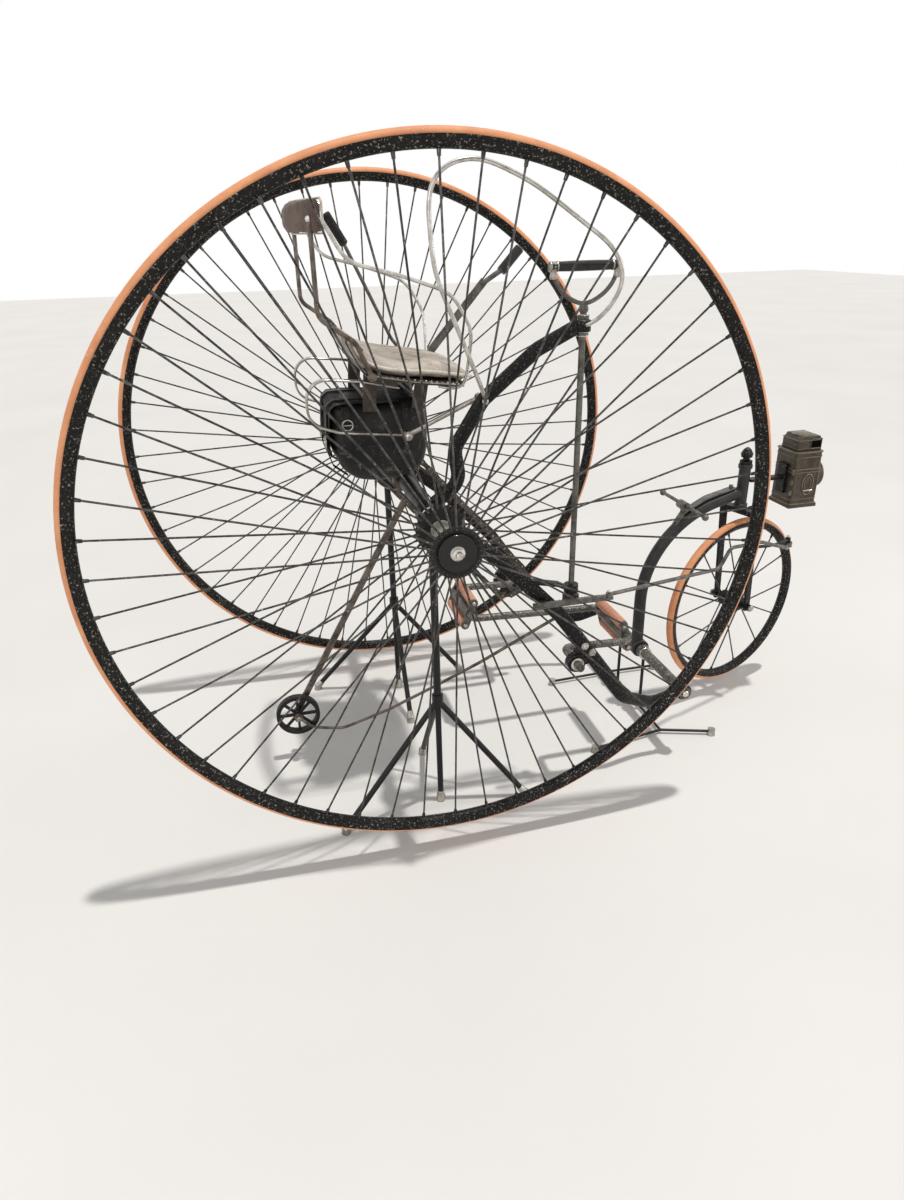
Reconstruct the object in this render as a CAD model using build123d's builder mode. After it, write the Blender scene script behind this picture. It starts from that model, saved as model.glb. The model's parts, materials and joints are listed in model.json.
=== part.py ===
"""High-wheel four-wheeled cycle of about 1880, standing on its display stands.

X points forward, Y to the rider's left and Z up. The origin is on the floor, midway along the machine's length.
Places are measured from the centre of the driving axle, and at() turns them into the part's own frame.
"""
import os
from math import asin, cos, pi, radians, sin

from build123d import *

os.makedirs("parts", exist_ok=True)

# Running gaps and seats
seat_gap = 0.3
shaft_gap = 0.05

# Driving wheels
wheel_radius = 635
wheel_lift = 50
track_half = 404
tyre_radius = 11
rim_half_width = 14
rim_depth = 19
spoke_count = 56
spoke_radius = 1.9
flange_radius = 47
flange_half_gauge = 60
flange_thickness = 5
hub_radius = 19
hub_nut_radius = 11
shaft_radius = 13

# Steered wheel and its fork
steer_wheel_radius = 230
steer_drop = 11
steer_tyre_radius = 10
steer_rim_half_width = 12
steer_rim_depth = 17
steer_spoke_count = 14
steer_rest = 16.5
head_x = 855
head_top = -42
head_bottom = -152
head_radius = 14
spindle_radius = 9
fork_trail = 16
fork_half = 50
blade_thickness = 7
steer_pin_ahead = 165
steer_pin_side = -34
steer_pin_z = -271
steer_pin_radius = 3.5
steer_pin_play = 4.8

# Tail wheel
tail_x = -290
tail_radius = 52
tail_width = 16
tail_pin_radius = 5

# Frame
side_y = 258
arm_end_y = 236
arm_height = 32
arm_width = 16
arm_bend = 60
boss_radius = 27
boss_half_width = 15
cross_x = 604
cross_z = -511
cross_radius = 13
backbone_radius = 15
backbone_bend = 255
casing_radius = 17

# Crank, chain and differential
chain_pitch = 25.8
chain_run_links = 19
sprocket_teeth = 12
chain_angle = -49.8
chain_y = 225
chain_inner_width = 8
chain_plate = 2
link_half_height = 7
tooth_gap = 1
crank_throw = 165
crank_radius = 9
crank_slope = -2.5
crank_bend = 17
web_y = 190
crank_boss_radius = 21
crank_end_y = 290
pedal_roll_radius = 12
pedal_roll_spread = 30
pedal_leans = {"right": -76, "left": -112}
drum_radius = 52
drum_width = 24
band_gap = 1.5

# Steering gear
column_x = 298
column_top = 352
column_radius = 6
pinion_radius = 16
pinion_teeth = 16
rack_z = -214
rack_height = 12
link_radius = 5

# Seat
seat_half_rear = 185
seat_half_front = 135

# Stands
stand_x = 2
stand_radius = 8
leg_radius = 6.5
foot_height = 10
front_leg_radius = 3.5

axle_z = wheel_radius + wheel_lift
turn = radians(steer_rest)
steer_major = steer_wheel_radius - steer_tyre_radius
front_reach = head_x + (fork_trail + steer_major) * cos(turn) + steer_tyre_radius
axle_x = (wheel_radius - front_reach) / 2
steer_z = steer_wheel_radius - wheel_radius - steer_drop
tail_z = tail_radius + 20 - wheel_radius
chain_centres = chain_run_links * chain_pitch
crank_x = chain_centres * cos(radians(chain_angle))
crank_z = chain_centres * sin(radians(chain_angle))
sprocket_pitch_radius = chain_pitch / (2 * sin(pi / sprocket_teeth))
sprocket_tip_radius = sprocket_pitch_radius - link_half_height - tooth_gap
floor_z = -axle_z


def at(x, y, z):
    """A point given from the centre of the driving axle."""
    return Vector(axle_x + x, y, axle_z + z)


def ahead(u, w, z):
    """A point given along and to the left of the steered wheel's plane, from the head's axis."""
    return at(head_x + u * cos(turn) - w * sin(turn), u * sin(turn) + w * cos(turn), z)


def side_plane(y):
    """An upright plane along the machine, whose sketches use places from the axle."""
    return Plane(origin=at(0, y, 0), x_dir=(1, 0, 0), z_dir=(0, -1, 0))


def wheel_section(centre, yaw=0):
    """The plane through a wheel's axis, with the axis as X and the radius as Y."""
    return Plane(origin=centre, x_dir=(-sin(yaw), cos(yaw), 0), z_dir=(cos(yaw), sin(yaw), 0))


def wheel_axis(centre, yaw=0):
    return Axis(centre, (-sin(yaw), cos(yaw), 0))


def straight_bar(start, end, radius, mode=Mode.ADD):
    """A round bar between two points of the part being built."""
    run = end - start
    with BuildSketch(Plane(origin=start, z_dir=run)) as section:
        Circle(radius)
    extrude(section.sketch, amount=run.length, mode=mode)


def rounded_route(points, bend):
    """Straight runs joined by bends, or one straight run."""
    with BuildLine() as route:
        if len(points) == 2:
            Line(*points)
        else:
            FilletPolyline(*points, radius=bend)
    return route


def bent_bar(points, radius, bend, mode=Mode.ADD):
    """A round bar along runs joined by bends."""
    route = rounded_route(points, bend)
    with BuildSketch(Plane(origin=route.line @ 0, z_dir=route.line % 0)) as section:
        Circle(radius)
    sweep(section.sketch, path=route.wire(), mode=mode)


def flat_bar(points, across, thick, bend=0):
    """A flat bar along runs joined by bends; across is its size along Y."""
    route = rounded_route(points, bend)
    with BuildSketch(Plane(origin=route.line @ 0, x_dir=(0, 1, 0), z_dir=route.line % 0)) as section:
        Rectangle(across, thick)
    sweep(section.sketch, path=route.wire())


def oval_bar(points, across, deep, bend, mode=Mode.ADD):
    """An oval tube along runs joined by bends; across is its size along Y."""
    route = rounded_route(points, bend)
    with BuildSketch(Plane(origin=route.line @ 0, x_dir=(0, 1, 0), z_dir=route.line % 0)) as section:
        Ellipse(across / 2, deep / 2)
    sweep(section.sketch, path=route.wire(), mode=mode)


def cross_bar(x, z, y_from, y_to, radius, mode=Mode.ADD):
    """A round bar or, with Mode.SUBTRACT, a bore along Y."""
    straight_bar(at(x, y_from, z), at(x, y_to, z), radius, mode)


def write(part, label):
    part.label = label
    export_step(part, f"parts/{label}.step")


def wire_spokes(centre, count, foot, gauge, tip, radius, yaw=0):
    """Spokes as square prisms from two flanges to the rim; foot and tip are radii, gauge is half the flanges' spread."""
    spokes = []
    for n in range(count):
        angle = 360 * n / count
        side = 1 if n % 2 else -1
        start = Vector(foot, side * gauge, 0).rotate(Axis.Y, -angle).rotate(Axis.Z, yaw)
        end = Vector(tip, 0, 0).rotate(Axis.Y, -angle).rotate(Axis.Z, yaw)
        run = end - start
        profile = Plane(origin=centre + start, z_dir=run) * RegularPolygon(radius, 4)
        spokes.append(extrude(profile, amount=run.length))
    return spokes


# Driving wheels: each is a rubber tyre, a wire wheel and a hub with its half of the axle
right_centre = at(0, -track_half, 0)
tyre_centre = wheel_radius - tyre_radius
rim_seat = tyre_radius + seat_gap
rim_foot = wheel_radius - tyre_radius - rim_depth
hub_outer = flange_half_gauge + 4
right_spokes = wire_spokes(right_centre, spoke_count, flange_radius - 6, flange_half_gauge, rim_foot + 4, spoke_radius)

with BuildPart() as tyre_right:
    with BuildSketch(wheel_section(right_centre)):
        with Locations((0, tyre_centre)):
            Circle(tyre_radius)
    revolve(axis=wheel_axis(right_centre))

with BuildPart() as wheel_right:
    with BuildSketch(wheel_section(right_centre)):
        with Locations((0, tyre_centre)):
            Ellipse(rim_half_width, rim_depth)
        with Locations((0, tyre_centre)):
            Circle(rim_seat, mode=Mode.SUBTRACT)
        with Locations((0, tyre_centre + rim_depth)):
            Rectangle(4 * rim_half_width, 2 * rim_depth, mode=Mode.SUBTRACT)
    revolve(axis=wheel_axis(right_centre))
    for side in (-1, 1):
        with BuildSketch(wheel_section(right_centre)):
            with Locations((side * flange_half_gauge, (flange_radius + hub_radius + seat_gap) / 2)):
                Rectangle(flange_thickness, flange_radius - hub_radius - seat_gap)
        revolve(axis=wheel_axis(right_centre))
    add(right_spokes)

boss_outer_y = side_y + boss_half_width
with BuildPart() as hub_right:
    with BuildSketch(Plane(origin=at(0, 0, 0), x_dir=(0, -1, 0), z_dir=(-1, 0, 0))):
        with BuildLine():
            Polyline(
                (boss_outer_y - 22, 0),
                (boss_outer_y - 22, shaft_radius),
                (boss_outer_y + seat_gap, shaft_radius),
                (boss_outer_y + seat_gap, hub_radius + 4),
                (boss_outer_y + 12, hub_radius),
                (track_half + hub_outer, hub_radius),
                (track_half + hub_outer, flange_radius - 12),
                (track_half + hub_outer + 4, flange_radius - 14),
                (track_half + hub_outer + 4, hub_radius + 5),
                (track_half + hub_outer + 1, hub_radius),
                (track_half + hub_outer + 1, hub_nut_radius),
                (track_half + hub_outer + 10, hub_nut_radius),
                (track_half + hub_outer + 10, hub_nut_radius - 4),
                (track_half + hub_outer + 15, 5),
                (track_half + hub_outer + 16, 0),
                close=True,
            )
        make_face()
    revolve(axis=Axis(at(0, 0, 0), (0, 1, 0)))

write(tyre_right.part, "tyre_right")
write(wheel_right.part, "wheel_right")
write(hub_right.part, "hub_right")

for label, twin in (("tyre_left", tyre_right), ("wheel_left", wheel_right), ("hub_left", hub_right)):
    with BuildPart() as left_piece:
        add(mirror(twin.part, about=Plane.XZ))
    write(left_piece.part, label)

# Side arms: axle boss, bent oval tube, crank bearing lug and the eye on the cross tube
arm_route = (
    (12, side_y, -10),
    (141, side_y, -111),
    (276, side_y, -254),
    (440, side_y, -487),
    (521, arm_end_y, -529),
    (cross_x - 10, arm_end_y, cross_z),
)
arm_line = [at(x, -y, z) for x, y, z in arm_route]
with BuildPart() as arm_right:
    cross_bar(0, 0, -side_y - boss_half_width, -side_y + boss_half_width, boss_radius)
    oval_bar(arm_line, arm_width, arm_height, arm_bend)
    cross_bar(cross_x, cross_z, -arm_end_y - 11, -arm_end_y + 11, cross_radius + 6)
    with BuildSketch(side_plane(-side_y)):
        with BuildLine():
            Polyline(
                (crank_x - 12, crank_z + 17),
                (crank_x + 14, crank_z + 46),
                (crank_x + 47, crank_z - 2),
                (crank_x + 12, crank_z - 17),
                close=True,
            )
        make_face()
    extrude(amount=6, both=True)
    cross_bar(crank_x, crank_z, -side_y - 11, -side_y + 11, crank_boss_radius)
    cross_bar(0, 0, -side_y - 40, -side_y + 40, shaft_radius + shaft_gap, Mode.SUBTRACT)
    cross_bar(crank_x, crank_z, -side_y - 40, -side_y + 40, crank_radius + shaft_gap, Mode.SUBTRACT)
    cross_bar(cross_x, cross_z, -side_y - 40, -side_y + 60, cross_radius + seat_gap, Mode.SUBTRACT)
write(arm_right.part, "arm_right")

with BuildPart() as arm_left:
    add(mirror(arm_right.part, about=Plane.XZ))
write(arm_left.part, "arm_left")

# Front cross tube with its end caps
cross_end = arm_end_y + 11 + seat_gap
stand_rods = (-37, 98)
with BuildPart() as cross_tube:
    cross_bar(cross_x, cross_z, -cross_end, cross_end, cross_radius)
    for side in (-1, 1):
        cross_bar(cross_x, cross_z, side * cross_end, side * (cross_end + 4), cross_radius + 2)
    for y in stand_rods:
        cross_bar(cross_x, cross_z, y - 9, y + 9, cross_radius + 4)
write(cross_tube.part, "cross_tube")

# Backbone from the cross tube up to the steering head
backbone_route = ((cross_x - 3, cross_z + 8), (cross_x - 4, -189), (head_x - 8, -114))
with BuildPart() as backbone:
    bent_bar([at(x, 0, z) for x, z in backbone_route], backbone_radius, backbone_bend)
    cross_bar(cross_x, cross_z, -20, 20, cross_radius + 10)
    straight_bar(at(head_x, 0, head_bottom), at(head_x, 0, head_top), head_radius)
    straight_bar(at(head_x, 0, head_bottom), at(head_x, 0, head_bottom + 10), head_radius + 3)
    straight_bar(at(head_x, 0, head_top - 10), at(head_x, 0, head_top), head_radius + 3)
    cross_bar(cross_x, cross_z, -40, 40, cross_radius + seat_gap, Mode.SUBTRACT)
    bore_start = at(head_x, 0, head_bottom - 20)
    straight_bar(bore_start, at(head_x, 0, head_top + 20), spindle_radius + shaft_gap, Mode.SUBTRACT)
write(backbone.part, "backbone")

# Footrest: a strap on top of the backbone carries a bar with ball ends
foot_x, foot_z = 695, -130
strap_end_x, strap_end_z = 830, -99
with BuildPart() as footrest:
    strap = ((foot_x - 33, foot_z - 76), (foot_x, foot_z - 20), (foot_x + 60, foot_z + 12), (strap_end_x, strap_end_z))
    flat_bar([at(x, 0, z) for x, z in strap], 18, 4, 30)
    cross_bar(foot_x, foot_z, -100, 100, 4.5)
    cross_bar(foot_x, foot_z - 2, -16, 16, 11)
    straight_bar(at(foot_x, 0, foot_z - 64), at(foot_x, 0, foot_z), 6)
    straight_bar(at(strap_end_x - 8, 0, strap_end_z - 30), at(strap_end_x - 8, 0, strap_end_z + 7), 5)
    for side in (-1, 1):
        with Locations(at(foot_x, side * 104, foot_z)):
            Sphere(8)
    bent_bar([at(x, 0, z) for x, z in backbone_route], backbone_radius + seat_gap, backbone_bend, Mode.SUBTRACT)
write(footrest.part, "footrest")

# Steered wheel
steer_centre = ahead(fork_trail, 0, steer_z)
with BuildPart() as tyre_front:
    with BuildSketch(wheel_section(steer_centre, turn)):
        with Locations((0, steer_major)):
            Circle(steer_tyre_radius)
    revolve(axis=wheel_axis(steer_centre, turn))
write(tyre_front.part, "tyre_front")

steer_rim_foot = steer_major - steer_rim_depth
front_spokes = wire_spokes(steer_centre, steer_spoke_count, 17, 25, steer_rim_foot + 3, spoke_radius, steer_rest)
with BuildPart() as wheel_front:
    with BuildSketch(wheel_section(steer_centre, turn)):
        with Locations((0, steer_major)):
            Ellipse(steer_rim_half_width, steer_rim_depth)
        with Locations((0, steer_major)):
            Circle(steer_tyre_radius + seat_gap, mode=Mode.SUBTRACT)
        with Locations((0, steer_major + steer_rim_depth)):
            Rectangle(4 * steer_rim_half_width, 2 * steer_rim_depth, mode=Mode.SUBTRACT)
    revolve(axis=wheel_axis(steer_centre, turn))
    with BuildSketch(wheel_section(steer_centre, turn)):
        with BuildLine():
            Polyline((-38, 5.05), (-38, 10), (-28, 10), (-28, 20), (-23, 20), (-19, 9), (19, 9), (23, 20), (28, 20),
                     (28, 10), (38, 10), (38, 5.05), close=True)
        make_face()
    revolve(axis=wheel_axis(steer_centre, turn))
    add(front_spokes)
write(wheel_front.part, "wheel_front")

# Fork: spindle and acorn, crown, two blades, wheel pin and the forward arm with the steering pin
crown_z = head_bottom - 14
with BuildPart() as fork:
    straight_bar(ahead(0, 0, crown_z + 3), ahead(0, 0, head_top + 7), spindle_radius)
    with BuildSketch(Plane(origin=at(head_x, 0, head_top + 1), x_dir=(1, 0, 0), z_dir=(0, -1, 0))):
        with BuildLine():
            Polyline((0, 0), (15, 0), (15, 8), (8, 11), (8, 15), (13, 17), (15, 25), (9, 36), (4, 40), (0, 42), close=True)
        make_face()
    revolve(axis=Axis(at(head_x, 0, 0), (0, 0, 1)))
    with BuildSketch(Plane(origin=ahead(0, 0, crown_z), x_dir=(cos(turn), sin(turn), 0), z_dir=(0, 0, 1))):
        SlotOverall(2 * fork_half + 18, 24, rotation=90)
    extrude(amount=13)
    blade_base = Plane(origin=ahead(0, 0, 0), x_dir=(cos(turn), sin(turn), 0), z_dir=(sin(turn), -cos(turn), 0))
    for side in (-1, 1):
        with BuildSketch(blade_base.offset(side * fork_half - blade_thickness / 2)):
            with BuildLine():
                Polyline(
                    (-11, crown_z + 6),
                    (11, crown_z + 6),
                    (fork_trail + 8, steer_z + 10),
                    (fork_trail + 10, steer_z),
                    (fork_trail + 7, steer_z - 10),
                    (fork_trail - 7, steer_z - 10),
                    (fork_trail - 10, steer_z),
                    (fork_trail - 8, steer_z + 10),
                    close=True,
                )
            make_face()
        extrude(amount=blade_thickness)
    straight_bar(ahead(fork_trail, -fork_half - 9, steer_z), ahead(fork_trail, fork_half + 9, steer_z), 5)
    for side in (-1, 1):
        nut = ahead(fork_trail, side * (fork_half + 3), steer_z)
        straight_bar(nut, ahead(fork_trail, side * (fork_half + 11), steer_z), 9)
    arm = (
        ahead(6, -fork_half, steer_pin_z + 24),
        ahead(60, -fork_half - 4, steer_pin_z + 17),
        ahead(steer_pin_ahead - 40, steer_pin_side - 11, steer_pin_z + 8),
        ahead(steer_pin_ahead, steer_pin_side, steer_pin_z + 6),
    )
    bent_bar(arm, link_radius - 1, 25)
    pin_foot = ahead(steer_pin_ahead, steer_pin_side, steer_pin_z)
    straight_bar(pin_foot + Vector(0, 0, 1), pin_foot + Vector(0, 0, 11), 7)
    straight_bar(pin_foot - Vector(0, 0, 16), pin_foot + Vector(0, 0, 14), steer_pin_radius)
write(fork.part, "fork")

# Steering column with its pinion, collars and spade handle
column_bottom = rack_z - 8
tooth_pitch = 2 * pi * pinion_radius / pinion_teeth
tooth_width = 0.36 * tooth_pitch
bearing_low = column_top - 29
bearing_high = column_top - 8
with BuildPart() as steering_column:
    straight_bar(at(column_x, -side_y, column_bottom), at(column_x, -side_y, column_top), column_radius)
    with BuildSketch(Plane(origin=at(column_x, -side_y, rack_z - 7))):
        Circle(pinion_radius - 2)
        with PolarLocations(pinion_radius - 1, pinion_teeth):
            Rectangle(5, tooth_width)
    extrude(amount=14)
    for low, high in ((bearing_low - 7, bearing_low - seat_gap), (bearing_high + seat_gap, column_top)):
        straight_bar(at(column_x, -side_y, low), at(column_x, -side_y, high), column_radius + 5)
    loop = (
        at(column_x - 60, -side_y, 429),
        at(column_x - 50, -side_y, 400),
        at(column_x, -side_y, 366),
        at(column_x + 50, -side_y, 400),
        at(column_x + 62, -side_y, 429),
    )
    bent_bar(loop, 4, 18)
    straight_bar(at(column_x, -side_y, column_top - 2), at(column_x, -side_y, 374), column_radius)
write(steering_column.part, "steering_column")

with BuildPart() as handle_grip:
    straight_bar(at(column_x - 66, -side_y, 435), at(column_x + 68, -side_y, 435), 9)
    for end in (-60, 62):
        with BuildSketch(Plane(origin=at(column_x + end, -side_y, 415))):
            Circle(7)
        extrude(amount=20)
    for end, inner in ((-60, -50), (62, 50)):
        low = at(column_x + inner, -side_y, 400)
        high = at(column_x + end, -side_y, 429)
        straight_bar(low, high + (high - low) * 0.1, 4 + seat_gap, Mode.SUBTRACT)
write(handle_grip.part, "handle_grip")

# Places where the spring rods end, on the right and left uprights
right_rod_end = (107, 212)
left_rod_end = (54, 136)

# Handle post: the curved upright on the right arm that carries the column's upper bearing
post_route = ((8, 22), (60, 60), (50, 125), (107, 212), (210, 296), (column_x - 8, 334))
with BuildPart() as handle_post:
    oval_bar([at(x, -side_y, z) for x, z in post_route], 15, 28, 38)
    straight_bar(at(column_x, -side_y, bearing_low), at(column_x, -side_y, bearing_high), 15)
    cross_bar(0, 0, -side_y - 30, -side_y + 30, boss_radius + seat_gap, Mode.SUBTRACT)
    straight_bar(at(column_x, -side_y, 300), at(column_x, -side_y, 360), column_radius + shaft_gap, Mode.SUBTRACT)
    cross_bar(*right_rod_end, -side_y - 16, -side_y + 16, 7)
    for low, high in ((bearing_low - 8, bearing_low), (bearing_high, bearing_high + 10)):
        relief = (at(column_x, -side_y, low), at(column_x, -side_y, high))
        straight_bar(*relief, column_radius + 5 + seat_gap, Mode.SUBTRACT)
write(handle_post.part, "handle_post")

# Column's lower bearing: a clamp on the right arm with a bored end and a guide for the rack
bearing_z = rack_z + 22
with BuildPart() as column_bracket:
    arm_top = (222, -176)
    flat_bar([at(arm_top[0] - 16, -side_y, arm_top[1] + 10), at(column_x - 30, -side_y, bearing_z + 12),
              at(column_x - 8, -side_y, bearing_z)], 14, 9, 8)
    oval_bar(arm_line, arm_width + 2 * seat_gap, arm_height + 2 * seat_gap, arm_bend, Mode.SUBTRACT)
    straight_bar(at(column_x, -side_y, bearing_z - 9), at(column_x, -side_y, bearing_z + 9), 15)
    straight_bar(at(column_x, -side_y, bearing_z - 30), at(column_x, -side_y, bearing_z + 30),
                 column_radius + shaft_gap, Mode.SUBTRACT)
write(column_bracket.part, "column_bracket")

# Rack: a toothed bar outboard of the pinion
rack_pitch_y = -side_y - pinion_radius - 1.5
rack_back_y = rack_pitch_y - 10
rack_start, rack_end = 206, 362
eye_x = rack_end + 14
eye_y = rack_back_y + 5
eye_pin_radius = 3
eye_plate_top = rack_z - 1
with BuildPart() as rack:
    with BuildSketch(Plane(origin=at(0, 0, rack_z - rack_height / 2))):
        with BuildLine():
            Polyline((rack_start, rack_back_y), (rack_end + 6, rack_back_y), (rack_end + 6, rack_pitch_y - 2.5),
                     (rack_start, rack_pitch_y - 2.5), close=True)
        make_face()
        for n in range(int((rack_end - rack_start) / tooth_pitch)):
            with Locations((rack_start + (n + 0.5) * tooth_pitch, rack_pitch_y - 2.5)):
                Rectangle(tooth_width, 4)
    extrude(amount=rack_height)
    plate_base = Plane(origin=at(0, 0, rack_z - rack_height / 2))
    with BuildSketch(plate_base):
        with Locations(((rack_end + eye_x) / 2, eye_y)):
            SlotOverall(eye_x - rack_end + 20, 2 * eye_pin_radius + 2)
    extrude(amount=eye_plate_top - rack_z + rack_height / 2)
    straight_bar(at(eye_x, eye_y, rack_z - 5), at(eye_x, eye_y, rack_z + 11), eye_pin_radius)
write(rack.part, "rack")

# Steering link from the rack's eye to the pin in front of the steered wheel
with BuildPart() as steering_link:
    route = (
        at(eye_x + 5, eye_y + 2, rack_z + 5),
        at(738, -121, -259),
        ahead(-124, -91, -207),
        ahead(0, -81, -222),
        ahead(118, -66, -268),
        ahead(steer_pin_ahead - 9, steer_pin_side - 4, steer_pin_z - 6),
    )
    bent_bar(route, link_radius - 0.5, [22, 16, 60, 60])
    eye_hole = steer_pin_radius + steer_pin_play
    straight_bar(pin_foot - Vector(0, 0, 12), pin_foot, eye_hole + 4)
    straight_bar(pin_foot - Vector(0, 0, 20), pin_foot + Vector(0, 0, 9), eye_hole, Mode.SUBTRACT)
    straight_bar(at(eye_x, eye_y, eye_plate_top + seat_gap), at(eye_x, eye_y, rack_z + 9), eye_pin_radius + 4.3)
    eye_bore = (at(eye_x, eye_y, rack_z - 9), at(eye_x, eye_y, rack_z + 19))
    straight_bar(*eye_bore, eye_pin_radius + 2 * shaft_gap, Mode.SUBTRACT)
write(steering_link.part, "steering_link")

# Axle casing from the right arm to the differential
casing_start = -side_y + boss_half_width + seat_gap
diff_start = 92
with BuildPart() as axle_casing:
    cross_bar(0, 0, casing_start, diff_start, casing_radius)
    cross_bar(0, 0, casing_start, casing_start + 14, casing_radius + 6)
    cross_bar(0, 0, diff_start - 14, diff_start, casing_radius + 6)
    cross_bar(0, 0, diff_start - 25, diff_start + 5, 12 + shaft_gap, Mode.SUBTRACT)
write(axle_casing.part, "axle_casing")

# Differential: a drum-shaped case with a row of bevel bosses, its sprocket and the brake drum
drum_start = diff_start + 10
case_start = drum_start + drum_width + 3
with BuildPart() as differential:
    cross_bar(0, 0, diff_start - 22, chain_y, 12)
    cross_bar(0, 0, chain_y, side_y - boss_half_width + 5, shaft_radius)
    cross_bar(0, 0, case_start, chain_y - 18, 40)
    cross_bar(0, 0, case_start + 8, case_start + 14, 46)
    cross_bar(0, 0, chain_y - 26, chain_y - 20, 46)
    with BuildSketch(Plane(origin=at(0, chain_y - chain_inner_width / 2 + 0.6, 0), x_dir=(1, 0, 0), z_dir=(0, 1, 0))):
        Circle(sprocket_tip_radius - 8)
        with PolarLocations(sprocket_tip_radius - 6, sprocket_teeth):
            Rectangle(12, 9)
    extrude(amount=chain_inner_width - 1.2)
    cross_bar(0, 0, chain_y - 18, side_y - boss_half_width - seat_gap, 18)
write(differential.part, "differential")

with BuildPart() as brake_drum:
    cross_bar(0, 0, drum_start, drum_start + drum_width, drum_radius)
    cross_bar(0, 0, drum_start + 3, drum_start + drum_width + 3, drum_radius - 8, Mode.SUBTRACT)
    cross_bar(0, 0, drum_start, drum_start + 3, drum_radius)
    cross_bar(0, 0, drum_start - 3, drum_start + drum_width + 2.7, 24)
    cross_bar(0, 0, drum_start - 40, drum_start + 60, 12 + seat_gap, Mode.SUBTRACT)
write(brake_drum.part, "brake_drum")

# Brake band round the drum, with its anchor on the axle casing and its pull rod
band_radius = drum_radius + band_gap
pull_x = 4
pull_lug = 12
with BuildPart() as brake_band:
    cross_bar(0, 0, drum_start + 3, drum_start + drum_width - 3, band_radius + 2.5)
    cross_bar(0, 0, drum_start - 5, drum_start + drum_width + 5, band_radius, Mode.SUBTRACT)
    with BuildSketch(side_plane(drum_start + drum_width - 6)):
        with Locations((-band_radius - 9, 0)):
            Rectangle(18, 12)
    extrude(amount=drum_width - 12)
    with BuildSketch(Plane(origin=at(pull_x, drum_start + drum_width / 2, band_radius + 1))):
        Rectangle(14, 12)
    extrude(amount=pull_lug)
    straight_bar(at(-band_radius - 12, drum_start + 12, 2), at(-band_radius - 12, 62, 2), 5)
    straight_bar(at(-band_radius - 12, 66, 2), at(-casing_radius - 2, 66, 2), 5)
    cross_bar(0, 0, 58, 74, casing_radius + 7)
    cross_bar(0, 0, 40, 90, casing_radius + seat_gap, Mode.SUBTRACT)
write(brake_band.part, "brake_band")

# Crank shaft: one bar bent into two throws that lie opposite
throw_x = crank_throw * cos(radians(crank_slope))
throw_z = crank_throw * sin(radians(crank_slope))
with BuildPart() as crank_shaft:
    crank_points = (
        at(crank_x, -crank_end_y, crank_z),
        at(crank_x, -web_y, crank_z),
        at(crank_x + throw_x, -web_y, crank_z + throw_z),
        at(crank_x + throw_x, 0, crank_z + throw_z),
        at(crank_x - throw_x, 0, crank_z - throw_z),
        at(crank_x - throw_x, web_y, crank_z - throw_z),
        at(crank_x, web_y, crank_z),
        at(crank_x, crank_end_y, crank_z),
    )
    bent_bar(crank_points, crank_radius, crank_bend)
write(crank_shaft.part, "crank_shaft")

with BuildPart() as crank_sprocket:
    with BuildSketch(Plane(origin=at(crank_x, chain_y - chain_inner_width / 2 + 0.6, crank_z), x_dir=(1, 0, 0),
                           z_dir=(0, 1, 0))):
        Circle(sprocket_tip_radius - 8)
        with PolarLocations(sprocket_tip_radius - 6, sprocket_teeth):
            Rectangle(12, 9)
    extrude(amount=chain_inner_width - 1.2)
    cross_bar(crank_x, crank_z, chain_y - 3, side_y - 11 - 2, crank_radius + 7)
    cross_bar(crank_x, crank_z, chain_y - 30, side_y + 30, crank_radius + seat_gap, Mode.SUBTRACT)
write(crank_sprocket.part, "crank_sprocket")

# Pedals: a frame with two end plates on a tube, and two rubber rolls
pedal_inner = crank_radius + crank_bend - 4
pedal_outer = web_y - crank_bend - crank_radius + 4
for side, name in ((-1, "right"), (1, "left")):
    pin_x = crank_x - side * throw_x
    pin_z = crank_z - side * throw_z
    lean = radians(pedal_leans[name])
    roll_places = []
    for spread in (-pedal_roll_spread, pedal_roll_spread):
        roll_places.append((pin_x + spread * cos(lean), pin_z + spread * sin(lean)))
    ends = (side * pedal_inner, side * (pedal_outer - 5))
    with BuildPart() as pedal_frame:
        for end in ends:
            with BuildSketch(Plane(origin=at(pin_x, end, pin_z), x_dir=(cos(lean), 0, sin(lean)), z_dir=(0, side, 0))):
                SlotOverall(2 * pedal_roll_spread + 22, 20)
            extrude(amount=5)
        cross_bar(pin_x, pin_z, side * pedal_inner, side * pedal_outer, crank_radius + 4)
        for roll_x, roll_z in roll_places:
            cross_bar(roll_x, roll_z, side * pedal_inner, side * pedal_outer, 4)
        cross_bar(pin_x, pin_z, 0, side * web_y, crank_radius + shaft_gap, Mode.SUBTRACT)
    write(pedal_frame.part, f"pedal_frame_{name}")
    with BuildPart() as pedal_rubbers:
        for roll_x, roll_z in roll_places:
            roll_from = side * (pedal_inner + 5 + seat_gap)
            roll_to = side * (pedal_outer - 5 - seat_gap)
            cross_bar(roll_x, roll_z, roll_from, roll_to, pedal_roll_radius)
            cross_bar(roll_x, roll_z, 0, side * web_y, 4 + seat_gap, Mode.SUBTRACT)
    write(pedal_rubbers.part, f"pedal_rubbers_{name}")

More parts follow.
